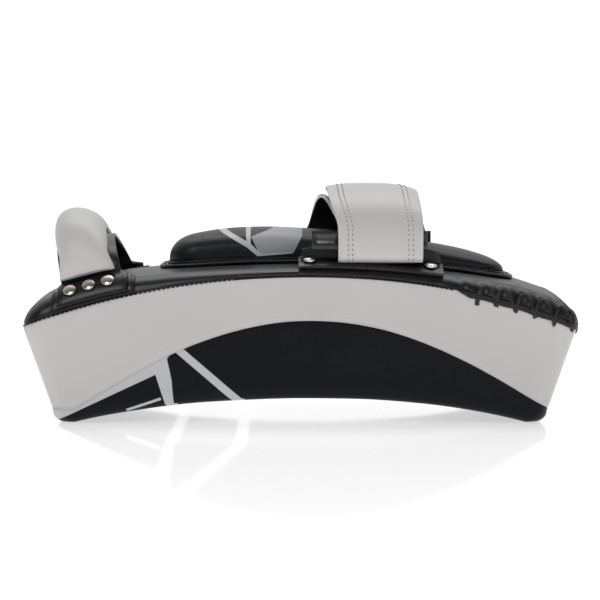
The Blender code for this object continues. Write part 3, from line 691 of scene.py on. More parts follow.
    def lace_distance(self, x: float, y: float) -> float:
        """How far along the laced seam a plan point lies, negative before its start."""
        straight = self.half_length - self.corner - self.lace_start_x
        corner = self.corner * math.pi / 2
        end = 2 * (self.half_width - self.corner)
        inner_x, inner_y = self.half_length - self.corner, self.half_width - self.corner
        if x <= inner_x:
            distance = x - self.lace_start_x
        elif abs(y) <= inner_y:
            return straight + corner + (y + inner_y)
        else:
            distance = straight + self.corner * math.atan2(x - inner_x, abs(y) - inner_y)
        whole = 2 * (straight + corner) + end
        return distance if y < 0 else whole - distance

    def seam_place(self, distance: float) -> tuple[Vector, Vector]:
        """A place along the laced seam.

        Args:
            distance: How far along it.

        Returns:
            Its plan point and the outward direction there.
        """
        straight = self.half_length - self.corner - self.lace_start_x
        corner = self.corner * math.pi / 2
        half = self.lace_length() / 2
        mirrored = distance > half
        run = 2 * half - distance if mirrored else distance
        if run < straight:
            point, out = Vector((self.lace_start_x + run, -self.half_width)), Vector((0, -1))
        elif run < straight + corner:
            turn = (run - straight) / self.corner - math.pi / 2
            out = Vector((math.cos(turn), math.sin(turn)))
            point = Vector((self.half_length - self.corner, self.corner - self.half_width))
            point += self.corner * out
        else:
            point = Vector((self.half_length, self.corner - self.half_width + run - straight - corner))
            out = Vector((1, 0))
        if mirrored:
            point.y, out.y = -point.y, -out.y
        return point, out

    def over_seam(self, distance: float, level: float, lift: float) -> Vector:
        """A point over the laced seam.

        Args:
            distance: How far along it.
            level: Below 0 in metres under the seam on the wall, above 0 a share of the roll's quarter turn.
            lift: How far off the leather.

        Returns:
            The point.
        """
        point, out = self.seam_place(distance)
        if level <= 0:
            lean = 0.34 * abs(out.x) * max(-level - 3 * MM, 0.0)
            spot = point + out * (lift - lean)
            return Vector((spot.x, spot.y, self.seam_z(point.x) + level))
        turn = math.radians(90) * level
        inset = self.roll_inset * (1 - math.cos(turn))
        inner = point - out * inset
        rise = (self.back_z(inner.x, inner.y) - self.seam_z(inner.x)) * math.sin(turn)
        spot = inner + out * lift * math.cos(turn)
        return Vector((spot.x, spot.y, self.seam_z(inner.x) + rise + lift * math.sin(turn)))


def ripple(piece: bpy.types.Object, size: float, depth: float, seed: float) -> None:
    """Gives tight leather its slight unevenness, along its normals.

    Args:
        piece: The object.
        size: Size of the swells.
        depth: Their depth.
        seed: Offset of the pattern.
    """
    mesh = piece.data
    moved = [v.co + v.normal * depth * noise.noise(v.co / size + Vector((seed, seed, 0)))
             for v in mesh.vertices]
    for vertex, place in zip(mesh.vertices, moved):
        vertex.co = place


def sorted_round(ring: Row, start: int) -> Row:
    """A ring's points from the laced end round the other end and back to it.

    Args:
        ring: The ring.
        start: A point at the end away from the lacing.

    Returns:
        The same points, starting opposite that one.
    """
    shift = (start + len(ring) // 2) % len(ring)
    return ring[shift:] + ring[:shift]


@dataclass
class PaddedBody:
    """The filled pad: strike face, side wall, back panel, the seams between them and the foam inside."""

    form: PadForm
    finishes: Finishes
    leather: float = 2 * MM
    tuck: float = 1.3 * MM          # how far a seam draws the leather in
    scallop_rings: int = 22
    wall_rings: int = 26
    pucker: float = 0.9 * MM

    def build(self) -> None:
        """Builds the whole body."""
        self.strike_face()
        self.side_wall()
        self.back_panel()
        self.seam_cords()
        self.seam_stitches()
        self.filling()

    def wall_rows(self, low: HeightOf, high: HeightOf, count: int, tuck_low: bool,
                  tuck_high: bool) -> list[Row]:
        """Rings up the wall between two seams.

        Args:
            low: Height of the lower edge.
            high: Height of the upper edge.
            count: How many steps.
            tuck_low: Whether the lower edge is drawn in.
            tuck_high: Whether the upper edge is drawn in.

        Returns:
            The rings, from the lower edge up.
        """
        form, rows = self.form, []

        def lifted(edge: HeightOf, lift: float) -> HeightOf:
            return lambda x: edge(x) + lift

        bottom, top = low, high
        if tuck_low:
            for inset, lift in ((self.tuck, 0.15 * MM), (self.tuck * 0.4, 0.5 * MM),
                                (self.tuck * 0.08, 1.3 * MM)):
                rows.append(form.wall_ring(lifted(low, lift), inset))
            bottom = lifted(low, 2.4 * MM)
        if tuck_high:
            top = lifted(high, -2.4 * MM)
        for share in spread(0.0, 1.0, count):
            rows.append(form.wall_ring(lambda x, s=share: bottom(x) + (top(x) - bottom(x)) * s))
        if tuck_high:
            for inset, drop in ((self.tuck * 0.08, -1.3 * MM), (self.tuck * 0.4, -0.5 * MM),
                                (self.tuck, -0.15 * MM)):
                rows.append(form.wall_ring(lifted(high, drop), inset))
        return rows

    def strike_face(self) -> None:
        """The black printed face that takes the blows, with its edge rolled up on to the side wall."""
        form, radius = self.form, self.form.edge_radius
        half_x, half_y = form.half_length_low, form.half_width
        under = lambda x, y: form.underside_z(x)
        rows = [form.plan_ring(half_x - radius, half_y - radius, form.corner - radius / 2, under, share)
                for share in spread(0.0, 1.0, 12)]
        for angle in (15, 30, 45, 60, 75):
            turn = math.radians(angle)
            inset, lift = radius * (1 - math.sin(turn)), radius * (1 - math.cos(turn))
            rows.append(form.plan_ring(half_x - inset, half_y - inset, form.corner - inset / 2,
                                       lambda x, y, up=lift: form.underside_z(x) + up))
        edge = lambda x: form.underside_z(x) + radius
        rows += self.wall_rows(edge, form.scallop_z, self.scallop_rings, False, True)
        skin = surface("strike_face_skin", rows, True)
        ripple(skin, 45 * MM, 0.35 * MM, 3.1)
        self.finish_skin(skin, self.finishes.strike_leather, "black_leather", "strike_face_panel")

    def side_wall(self) -> None:
        """The white wall between the scallop seam and the back."""
        form = self.form
        rows = self.wall_rows(form.scallop_z, form.seam_z, self.wall_rings, True, True)
        skin = surface("side_wall_skin", rows, True)
        ripple(skin, 60 * MM, 0.45 * MM, 7.7)
        self.finish_skin(skin, self.finishes.white_leather, "white_leather", "side_wall")

    def back_panel(self) -> None:
        """The black back with its rolled edge, gathered where the lace draws it down."""
        form = self.form
        rows = [form.plan_ring(form.half_length - inset, form.half_width - inset, form.corner,
                               lambda x, y, up=lift: form.seam_z(x) + up)
                for inset, lift in ((self.tuck, 0.15 * MM), (self.tuck * 0.4, 0.5 * MM), (0.0, 1.2 * MM))]
        for angle in range(8, 91, 6):
            turn = math.radians(min(angle, 90))
            inset = form.roll_inset * (1 - math.cos(turn))
            rows.append(form.plan_ring(
                form.half_length - inset, form.half_width - inset, form.corner,
                lambda x, y, s=math.sin(turn): form.seam_z(x) + (form.back_z(x, y) - form.seam_z(x)) * s))
        for share in spread(1.0, 0.0, 18):
            rows.append(form.plan_ring(form.half_length - form.roll_inset, form.half_width - form.roll_inset,
                                       form.corner, form.back_z, share))
        skin = surface("back_panel_skin", rows, True)
        ripple(skin, 50 * MM, 0.4 * MM, 11.3)
        self.gather(skin)
        self.finish_skin(skin, self.finishes.black_leather, "black_leather", "back_panel")

    def gather(self, skin: bpy.types.Object) -> None:
        """Draws the roll down under each turn of the lace and lets it bulge between."""
        form = self.form
        pitch = form.lace_length() / form.lace_stitches
        for vertex in skin.data.vertices:
            x, y, z = vertex.co
            if x < form.lace_start_x - pitch:
                continue
            distance = form.lace_distance(x, y)
            edge = min(max((distance + pitch) / pitch, 0.0), 1.0)
            height = (z - form.seam_z(x)) / (form.back_z(x, y) - form.seam_z(x) + 1e-6)
            inside = min(form.half_width - abs(y), form.half_length - x)
            fade = max(1 - inside / (1.5 * form.roll_inset), 0.0) * edge * min(height * 4, 1.0)
            wave = math.cos(2 * math.pi * (distance / pitch - 0.15))
            low = 0.5 * math.cos(4 * math.pi * distance / pitch + 5 * height)
            vertex.co -= vertex.normal * self.pucker * fade * (wave + low + 0.4)

    def finish_skin(self, skin: bpy.types.Object, finish: bpy.types.Material, slot: str, node: str) -> None:
        """Gives a skin its thickness, its finish and its place in the frame."""
        settle(skin, ("SOLIDIFY", {"thickness": self.leather, "offset": -1.0, "use_even_offset": False}))
        skin.data.shade_smooth()
        dress(skin, finish, PAD, slot, (node,))

    def seam_cords(self) -> None:
        """Thin rolled cords in both seams, which close the groove between two skins."""
        form = self.form
        for name, height, finish, slot in (
                ("scallop_seam_cord", form.scallop_z, self.finishes.white_leather, "white_leather"),
                ("back_seam_cord", form.seam_z, self.finishes.black_leather, "black_leather")):
            rows: list[Row] = []
            for turn in (math.radians(360 * i / 8) for i in range(9)):
                rows.append(form.wall_ring(lambda x, t=turn, h=height: h(x) + 0.75 * MM * math.sin(t),
                                           1.15 * MM - 0.75 * MM * math.cos(turn)))
            cord = surface(name, rows, True)
            bm = bmesh.new()
            bm.from_mesh(cord.data)
            bmesh.ops.remove_doubles(bm, verts=bm.verts, dist=1e-5)
            bmesh.ops.recalc_face_normals(bm, faces=bm.faces)
            bm.to_mesh(cord.data)
            bm.free()
            cord.data.shade_smooth()
            dress(cord, finish, PAD, slot)

    def seam_stitches(self) -> None:
        """The thread that closes the back's seam, up to where the lacing takes over."""
        form = self.form
        ring = form.wall_ring(lambda x: form.seam_z(x) - 0.7 * MM, -0.1 * MM)
        middle = next(i for i, p in enumerate(ring) if p.x < -form.half_length * 0.97)
        path = sorted_round(ring, middle)
        path = [p for p in path if p.x < form.lace_start_x]
        normals = [Vector((p.x if abs(p.x) > form.half_length - form.corner else 0.0,
                           p.y if abs(p.y) > form.half_width - form.corner else 0.0, 0.0)).normalized()
                   for p in path]
        thread = stitching("back_seam_stitches", [(path, normals)], 3.4 * MM, 2.5 * MM, 0.42 * MM)
        dress(thread, self.finishes.black_thread, PAD, "black_leather")

    def filling(self) -> None:
        """The foam sheets inside keep their solids and get their foams."""
        for node, finish in (("impact_foam", self.finishes.eva_foam), ("core_foam", self.finishes.soft_foam),
                             ("back_foam", self.finishes.eva_foam)):
            carry_over(node, finish)


def carry_over(node: str, finish: bpy.types.Material) -> None:
    """Gives a frame node that stays in view a finish of its own."""
    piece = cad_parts[node]
    piece.data.materials.clear()
    piece.data.materials.append(finish)
    LOG.info("%s: kept from the frame", node)


@dataclass
class LacedEnd:
    """The end where the filling goes in: a welt under the seam and one flat lace whipped over it."""

    form: PadForm
    finishes: Finishes
    lace_radius: float = 1.1 * MM
    lace_width: float = 1.5         # width over thickness
    tooth: float = 7.2 * MM
    welt_height: float = 3.4 * MM
    top_share: float = 0.46         # how far up the roll it reaches
    seam_share: float = 0.52        # share of its climb at which it crosses the seam
    steps: int = 20                 # points of its path in each stitch

    def build(self) -> None:
        """Builds the welt, the lace and its two knots' tucked ends."""
        self.welt()
        self.lace()

    def welt(self) -> None:
        """The black band that the lace's holes are punched in."""
        length = self.form.lace_length()
        rows = []
        for share in spread(0.0, 1.0, 240):
            distance = length * share
            ends = min(share, 1 - share) * length / (9 * MM)
            drop = self.welt_height * min(ends, 1.0) + 0.4 * MM
            drop += 0.35 * MM * math.sin(distance / (4.1 * MM))
            row = []
            for level in (0.3 * MM, -0.25 * drop, -0.6 * drop, -drop):
                row.append(self.form.over_seam(distance, min(level, 0.0), 0.35 * MM))
            rows.append(row)
        welt = leather_sheet("lacing_welt", rows, 0.9 * MM)
        dress(welt, self.finishes.black_leather, PAD, "black_leather")

    def lace(self) -> None:
        """One flat lace, down through a hole in the wall and up into the roll at each stitch."""
        form = self.form
        pitch = form.lace_length() / form.lace_stitches
        path = []
        seam = self.seam_share
        for stitch in range(1, form.lace_stitches):
            wander = 0.06 * math.sin(stitch * 2.4)
            for step in spread(0.0, 1.0, self.steps)[:-1]:
                up = 1 - abs(1 - 2 * step)
                climb = 1 - (1 - up) ** 1.5
                along = 0.5 * up ** 1.9 if step < 0.5 else 1 - 0.5 * up ** 1.9
                drop = self.tooth * (1 + 0.12 * math.sin(stitch * 1.7))
                over = (climb - seam) / (1 - seam)
                level = -drop * (1 - climb / seam) if climb < seam else self.top_share * over
                lift = 0.6 * MM - 0.4 * MM * max(over, 0.0)
                lift -= 0.9 * MM * max((up - 0.86) / 0.14, 0.0)
                path.append(form.over_seam((stitch + along + wander * climb) * pitch, level, lift))
            if stitch == form.lace_stitches - 1:
                path = path[:-(self.steps - 1)]
        path.append(form.over_seam((form.lace_stitches - 1) * pitch, -self.tooth, 0.2 * MM))
        for _ in range(2):
            path[1:-1] = [(a + 2 * b + c) / 4 for a, b, c in zip(path, path[1:], path[2:])]
        cord = self.ribbon("lacing_cord", path)
        dress(cord, self.finishes.lace, PAD, "lace", ("lacing",))

    def ribbon(self, name: str, path: Sequence[Vector]) -> bpy.types.Object:
        """A flat lace that keeps its wide side on the leather.

        Args:
            name: The object's name.
            path: The points it runs through.

        Returns:
            The new object.
        """
        middle = Vector((120 * MM, 0, 55 * MM))
        count, sides, rings = len(path), 10, []
        for i, point in enumerate(path):
            run = (path[min(i + 1, count - 1)] - path[max(i - 1, 0)]).normalized()
            out = point - middle
            out.z *= 1.4
            out = (out - run * out.dot(run)).normalized()
            side = run.cross(out)
            ring = []
            for k in range(sides):
                turn = 2 * math.pi * k / sides
                ring.append(point + side * math.cos(turn) * self.lace_radius * self.lace_width
                            + out * math.sin(turn) * self.lace_radius * 0.5)
            rings.append(ring)
        return surface(name, [[path[0]] * sides, *rings, [path[-1]] * sides], True)


@dataclass
class ForearmCushion:
    """The crowned cushion along the back, on a stitched flange."""

    form: PadForm
    finishes: Finishes
    start_x: float = -97 * MM
    end_x: float = 151 * MM
    half_width: float = 48 * MM
    height: float = 22 * MM
    fall: float = 0.47              # share of its height that it loses towards the laced end
    corner: float = 20 * MM
    flange_margin: float = 7 * MM
    rest: float = 0.6 * MM
    flange_thickness: float = 2.2 * MM
    piping_radius: float = 1.0 * MM
    swell_cap: float = 4.0 * MM
    voxel: float = 3.2 * MM

    def ring(self, inset: float, lift: float, share: float = 1.0, gap: float = 0.0) -> Row:
        """A ring of the cushion.

        Args:
            inset: How far in from its base outline.
            lift: Part of its height over the back.
            share: How far out from the middle line.
            gap: How far its base stands over the back panel.

        Returns:
            The ring.
        """
        middle, half = (self.start_x + self.end_x) / 2, (self.end_x - self.start_x) / 2
        corner = max(self.corner - inset / 2, 4 * MM)
        points = self.form.outline(half - inset, self.half_width - inset, corner, 70, 28, 9)
        spine = half - self.half_width + 10 * MM
        row: Row = []
        for p in points:
            x = min(max(p.x, -spine), spine)
            x, y = x + (p.x - x) * share, p.y * share
            along = x / half
            high = self.height * (1 - self.fall * max((along + 0.35) / 1.15, 0.0) ** 0.85
                                  - 0.10 * max(-along, 0.0) ** 3)
            base = self.form.back_z(x + middle, y) + self.rest + gap
            row.append(Vector((x + middle, y, base + lift * high)))
        return row

    def build(self) -> None:
        """Builds the flange, the padded top, its seams and the foam."""
        self.flange()
        self.top()
        carry_over("cushion_foam", self.finishes.soft_foam)

    def flange(self) -> None:
        """The sewn border that holds the cushion to the back."""
        rows = [self.ring(-self.flange_margin, 0.0, share) for share in spread(0.0, 1.0, 8)]
        rim = surface("cushion_flange", rows, True)
        for vertex in rim.data.vertices:
            edge = noise.noise(vertex.co / (30 * MM))
            vertex.co.z += 0.25 * MM * edge
        if rim.data.polygons[0].normal.z < 0:
            rim.data.flip_normals()
        settle(rim, ("SOLIDIFY", {"thickness": self.flange_thickness, "offset": 1.0}),
               ("BEVEL", {"width": 0.7 * MM, "segments": 3, "limit_method": "ANGLE",
                          "angle_limit": math.radians(50)}))
        rim.data.shade_smooth()
        dress(rim, self.finishes.black_leather, PAD, "black_leather", ("cushion_base",))
        place = self.ring(-self.flange_margin * 0.55, 0.0, gap=self.flange_thickness)
        place.append(place[0])
        normals = [Vector((0, 0, 1))] * len(place)
        thread = stitching("cushion_flange_stitches", [(place, normals)], 4.2 * MM, 3.2 * MM, 0.32 * MM)
        dress(thread, self.finishes.black_thread, PAD, "black_leather")

    def top(self) -> None:
        """The padded leather, swollen by its filling as cloth and sewn down at its foot."""
        base = self.flange_thickness + 0.2 * MM
        rows = [self.ring(0.0, 0.0, share, base) for share in spread(0.0, 1.0, 6)]
        for turn in spread(0.0, 90.0, 12)[1:]:
            angle = math.radians(turn)
            bulge = -1.0 * MM * math.sin(2 * angle)
            inset = 24 * MM * (1 - math.cos(angle)) ** 1.25 + bulge
            rows.append(self.ring(inset, math.sin(angle) ** 0.9 * 0.97, 1.0, base))
        inner = 24 * MM
        for share in spread(0.9, 0.0, 7):
            rows.append(self.ring(inner, 0.97 + 0.04 * (1 - share), share, base))
        cushion = surface("forearm_cushion", rows, True)
        self.swell(cushion)
        ripple(cushion, 32 * MM, 0.5 * MM, 5.5)
        cushion.data.shade_smooth()
        dress(cushion, self.finishes.cushion_leather, PAD, "black_leather", ("cushion_cover",))
        foot = self.ring(-0.6 * MM, 0.03, gap=base)
        foot.append(foot[0])
        cord = self.piping(foot)
        dress(cord, self.finishes.black_leather, PAD, "black_leather")

    def piping(self, path: Row) -> bpy.types.Object:
        """The piped seam round the cushion's foot."""
        sides, rings = 8, []
        for i, point in enumerate(path[:-1]):
            run = (path[(i + 1) % (len(path) - 1)] - path[i - 1 if i else -2]).normalized()
            out = run.cross(Vector((0, 0, 1))).normalized()
            up = out.cross(run)
            turns = [2 * math.pi * k / sides for k in range(sides)]
            rings.append([point + (out * math.cos(t) + up * math.sin(t)) * self.piping_radius for t in turns])
        rings.append(rings[0])
        return surface("cushion_piping", rings, True)

    def swell(self, piece: bpy.types.Object) -> None:
        """Runs the cushion as cloth under pressure, its foot held, and caps how far it swells.

        Args:
            piece: The closed cushion, which takes the swollen shape.
        """
        sewn = BVHTree.FromPolygons([v.co.copy() for v in piece.data.vertices],
                                    [tuple(p.vertices) for p in piece.data.polygons])
        settle(piece, ("REMESH", {"mode": "VOXEL", "voxel_size": self.voxel, "use_smooth_shade": True}))
        rest = [v.co.copy() for v in piece.data.vertices]
        pins = piece.vertex_groups.new(name="foot")
        for vertex in piece.data.vertices:
            x, y, z = vertex.co
            height = z - self.form.back_z(x, y) - self.flange_thickness
            if height < 3.2 * MM:
                pins.add([vertex.index], 1.0, "REPLACE")
        cloth = piece.modifiers.new("Filling", "CLOTH")
        cloth.settings.use_pressure = True
        cloth.settings.uniform_pressure_force = 4.0
        cloth.settings.vertex_group_mass = "foot"
        cloth.settings.effector_weights.gravity = 0.0
        cloth.settings.quality = 5
        cloth.settings.tension_stiffness = 30
        cloth.settings.compression_stiffness = 20
        cloth.collision_settings.use_self_collision = False
        scene = bpy.context.scene
        scene.frame_start, scene.frame_end = 1, 20
        cloth.point_cache.frame_start, cloth.point_cache.frame_end = 1, 20
        for number in range(1, 21):
            scene.frame_set(number)
        swollen = piece.evaluated_get(bpy.context.evaluated_depsgraph_get()).to_mesh()
        places = [v.co.copy() for v in swollen.vertices]
        piece.modifiers.remove(cloth)
        for vertex, start, place in zip(piece.data.vertices, rest, places):
            move = place - start
            if move.length > self.swell_cap:
                move *= self.swell_cap / move.length
            vertex.co = start + move
        scene.frame_set(1)
        piece.vertex_groups.clear()
        settle(piece, ("SMOOTH", {"factor": 0.5, "iterations": 2}),
               ("SUBSURF", {"levels": 1, "render_levels": 1}))
        for vertex in piece.data.vertices:
            place, normal, _, _ = sewn.find_nearest(vertex.co)
            if (vertex.co - place).dot(normal) < 0:
                vertex.co = place


def roll_patch(form: PadForm, name: str, middle: float, half: float, side: int, offset: float,
               thickness: float,
               angles: Sequence[float] = (3, 14, 26, 38, 50, 62, 74, 84)) -> bpy.types.Object:
    """A leather patch laid over the roll.

    Args:
        form: The pad's form.
        name: The object's name.
        middle: Its middle along the pad.
        half: Its half width.
        side: -1 near, 1 far.
        offset: How far its inner face stands off the body.
        thickness: Its thickness.
        angles: Its rows' places round the roll.

    Returns:
        The new object.
    """
    rows = [[form.roll_point(x, side, angle, offset) for x in spread(middle - half, middle + half, 22)]
            for angle in angles]
    return leather_sheet(name, rows if side < 0 else rows[::-1], thickness)


@dataclass
class Rivets:
    """Cap rivets: each a domed cap with a rolled rim on a shank, copied from one."""

    form: PadForm
    finishes: Finishes
    cap_radius: float = 4.7 * MM
    cap_height: float = 2.0 * MM
    shank_radius: float = 1.6 * MM
    grip: float = 3.6 * MM
    handle_x: tuple[float, ...] = (-165 * MM, -151.5 * MM, -138 * MM)
    handle_angle: float = 42
    handle_lift: float = 6.0 * MM
    strap_x: tuple[float, ...] = (7 * MM, 94 * MM)
    strap_angle: float = 72
    strap_lift: float = 5.0 * MM

    def pattern(self) -> bpy.types.Object:
        """Models one rivet, standing on the origin."""
        deselect()
        bpy.ops.mesh.primitive_cylinder_add(vertices=32, radius=self.cap_radius, depth=self.cap_height,
                                            location=(0, 0, self.cap_height / 2))
        cap = place_in_mesh(bpy.context.active_object)
        make_active(cap)
        bpy.ops.object.mode_set(mode="EDIT")
        work = bmesh.from_edit_mesh(cap.data)
        for face in work.faces:
            face.select_set(face.normal.z > 0.9)
        bmesh.update_edit_mesh(cap.data)
        bpy.ops.mesh.inset(thickness=self.cap_radius * 0.22)
        bpy.ops.transform.translate(value=(0, 0, 0.42 * MM))
        bpy.ops.mesh.inset(thickness=self.cap_radius * 0.34)
        bpy.ops.transform.translate(value=(0, 0, 0.32 * MM))
        bpy.ops.mesh.inset(thickness=self.cap_radius * 0.26)
        bpy.ops.transform.translate(value=(0, 0, 0.08 * MM))
        bpy.ops.mesh.select_all(action="DESELECT")
        work = bmesh.from_edit_mesh(cap.data)
        for face in work.faces:
            face.select_set(face.normal.z < -0.9)
        bmesh.update_edit_mesh(cap.data)
        bpy.ops.mesh.inset(thickness=self.cap_radius - self.shank_radius)
        bpy.ops.mesh.extrude_region_move(TRANSFORM_OT_translate={"value": (0, 0, -self.grip)})
        bpy.ops.object.mode_set(mode="OBJECT")
        settle(cap, ("BEVEL", {"width": 0.45 * MM, "segments": 3, "limit_method": "ANGLE",
                               "angle_limit": math.radians(28)}))
        cap.data.shade_smooth()
        return cap

    def build(self) -> None:
        """Sets a copy of the rivet in each place."""
        pattern = self.pattern()
        rows = (("handle_rivet", self.handle_x, self.handle_angle, self.handle_lift),
                ("strap_rivet", self.strap_x, self.strap_angle, self.strap_lift))
        for name, places, angle, lift in rows:
            for side, label in ((-1, "near"), (1, "far")):
                for number, x in enumerate(places, 1):
                    normal = self.form.roll_normal(x, side, angle)
                    seat = self.form.roll_point(x, side, angle, lift)
                    cap = pattern.copy()
                    cap.data = pattern.data.copy()
                    cap.name = f"{name}_cap_{label}_{number}"
                    bpy.context.scene.collection.objects.link(cap)
                    turn = normal.to_track_quat("Z", "Y").to_matrix().to_4x4()
                    cap.data.transform(Matrix.Translation(seat) @ turn)
                    dress(cap, self.finishes.nickel, PAD, "nickel", (f"{name}_{label}_{number}",))
        bpy.data.objects.remove(pattern, do_unlink=True)


@dataclass
class Handle:
    """The handle across the back: a riveted inner strip with a padded white grip over it."""

    form: PadForm
    finishes: Finishes
    middle_x: float = -150.5 * MM
    lean: float = math.radians(12)
    crest_z: float = 154 * MM
    twist_foot: float = 3 * MM      # how far the far leg stands past the near one
    twist_rise: float = 7 * MM
    half_span: float = 85 * MM
    arch_power: float = 2.6
    strip_width: float = 43 * MM
    strip_thickness: float = 2.4 * MM
    tab_x: float = -149 * MM
    tab_half: float = 25 * MM
    tab_offset: float = 3.2 * MM
    grip_shift: float = -2 * MM
    grip_width: float = 37.5 * MM
    grip_depth: float = 19 * MM
    grip_foot_depth: float = 5 * MM
    patch_half: float = 30 * MM

    def point(self, share: float, offset: float, along: float = 0.0) -> Vector:
        """A point over the handle's arch, in its leaning plane.

        Args:
            share: Place along the arch, from the near foot to the far one.
            offset: How far out from its inner face.
            along: Place across the strip.

        Returns:
            The point.
        """
        form = self.form
        foot_z = form.back_z(self.middle_x, form.half_width) + self.tab_offset + 1 * MM
        angle, power = math.pi * share, 2 / self.arch_power
        across = -math.copysign(abs(math.cos(angle)) ** power, math.cos(angle))
        up = abs(math.sin(angle)) ** power
        rise = self.crest_z - self.grip_depth - self.strip_thickness - 1 * MM - foot_z
        slope = Vector((0, across / self.half_span, up / rise)).normalized()
        spot = Vector((along, across * self.half_span, up * rise)) + offset * slope
        slant = form.back_z(self.middle_x + along, form.half_width)
        slant -= form.back_z(self.middle_x, form.half_width)
        twist = (self.twist_foot + self.twist_rise * up) * (1 + across) / 2
        return Vector((self.middle_x + spot.x - math.tan(self.lean) * spot.z - twist, spot.y,
                       foot_z + spot.z + slant * (1 - up)))

    def even_shares(self, start: float, end: float, count: int) -> list[float]:
        """Shares that step evenly along the arch's length rather than its angle."""
        fine = spread(start, end, 600)
        places = [self.point(s, 0.0) for s in fine]
        lengths = [0.0]
        for a, b in zip(places, places[1:]):
            lengths.append(lengths[-1] + (b - a).length)
        return list(np.interp(spread(0.0, lengths[-1], count), lengths, fine))

    def build(self) -> None:
        """Builds the patches, the strip with its tabs, the grip and their stitching."""
        for side, label in ((-1, "near"), (1, "far")):
            patch = roll_patch(self.form, f"handle_base_patch_{label}", self.tab_x, self.patch_half, side,
                               0.9 * MM,
                               1.2 * MM)
            dress(patch, self.finishes.black_leather, PAD, "black_leather", (f"handle_patch_{label}",))
        self.strip()
        self.grip()
        self.stitches()
        carry_over("handle_grip_foam", self.finishes.soft_foam)

    def strip(self) -> None:
        """The black strip that runs inside the grip and out over both rolls."""
        widths = spread(-1.0, 1.0, 10)
        tabs = [[[self.form.roll_point(self.tab_x + w * self.tab_half, side, angle, self.tab_offset)
                  for w in widths]
                 for angle in (11, 20, 29, 38, 47, 56, 65, 72)] for side in (-1, 1)]
        arch = [[self.point(share, 0.0, w * self.strip_width / 2) for w in widths]
                for share in self.even_shares(0.0, 1.0, 60)]
        strip = leather_sheet("handle_inner_strip", tabs[0] + arch + tabs[1][::-1], self.strip_thickness)
        dress(strip, self.finishes.black_leather, PAD, "black_leather", ("handle_strip",))
        edges = []
        for w in (-0.93, 0.93):
            path = [self.point(share, -0.05 * MM, w * self.strip_width / 2)
                    for share in self.even_shares(0.03, 0.97, 200)]
            inward = [-(self.point(share, 1 * MM) - self.point(share, 0)).normalized()
                      for share in self.even_shares(0.03, 0.97, 200)]
            edges.append((path, inward))
        seam = stitching("handle_strip_stitches", edges, 4.0 * MM, 3.0 * MM, 0.3 * MM)
        dress(seam, self.finishes.black_thread, PAD, "black_leather")

    def grip(self) -> None:
        """The padded white grip, fat over the palm and sewn flat at its feet."""
        rows: list[Row] = []
        foot_low = 0.012
        for share in self.even_shares(foot_low, 1 - foot_low, 84):
            fat = min(math.sin(math.pi * share) * 1.55, 1.0) ** 0.6
            near = min(share, 1 - share)
            waist = 1 - 0.075 * math.exp(-((near - 0.105) / 0.06) ** 2) + 0.07 * math.exp(-(near / 0.05) ** 2)
            half = self.grip_width / 2 * waist
            depth = self.grip_foot_depth + (self.grip_depth - self.grip_foot_depth) * fat
            base = self.strip_thickness + 0.5 * MM
            ring: Row = []
            for i in range(40):
                turn = 2 * math.pi * i / 40
                square = 0.7 + 0.25 * fat
                across = half * math.copysign(abs(math.cos(turn)) ** square, math.cos(turn))
                rim = 0.5 - 0.32 * fat
                up = rim + (1 - rim if math.sin(turn) > 0 else rim) * math.sin(turn)
                ring.append(self.point(share, base + depth * up, self.grip_shift + across))
            rows.append(ring)
        skin = surface("handle_grip", rows, True)
        ripple(skin, 26 * MM, 0.55 * MM, 2.2)
        settle(skin, ("SOLIDIFY", {"thickness": 1.6 * MM, "offset": -1.0, "use_even_offset": False}),
               ("BEVEL", {"width": 0.5 * MM, "segments": 2, "limit_method": "ANGLE",
                          "angle_limit": math.radians(60)}))
        skin.data.shade_smooth()
        dress(skin, self.finishes.white_leather, PAD, "white_leather", ("handle_grip_cover",))

    def stitches(self) -> None:
        """The box stitch round each tab and the rows down each patch's edges."""
        form, seams = self.form, []
        for side in (-1, 1):
            boxed = [(self.tab_x + dx * (self.tab_half - 3.4 * MM), angle) for dx, angle in
                     ((-1, 64), (-1, 18), (1, 18), (1, 64))]
            path, normals = [], []
            for (x0, a0), (x1, a1) in zip(boxed, boxed[1:]):
                for share in spread(0.0, 1.0, 30)[:-1]:
                    x, angle = x0 + (x1 - x0) * share, a0 + (a1 - a0) * share
                    path.append(form.roll_point(x, side, angle, self.tab_offset + self.strip_thickness))
                    normals.append(form.roll_normal(x, side, angle))
            seams.append((path, normals))
            for dx in (-1, 1):
                x = self.tab_x + dx * (self.patch_half - 2.2 * MM)
                angles = spread(5, 82, 40)
                seams.append(([form.roll_point(x, side, a, 2.1 * MM) for a in angles],
                              [form.roll_normal(x, side, a) for a in angles]))
        thread = stitching("handle_tab_stitches", seams, 3.6 * MM, 2.7 * MM, 0.32 * MM)
        dress(thread, self.finishes.black_thread, PAD, "black_leather")


class Layer(Enum):
    """The strap's layers, by how far each one's inner face stands off the lining's."""

    STRAP = 3.35 * MM
    HOOK = 5.7 * MM
    LOOP = 8.85 * MM
    FLAP_LINING = 12.0 * MM
    FLAP = 13.55 * MM


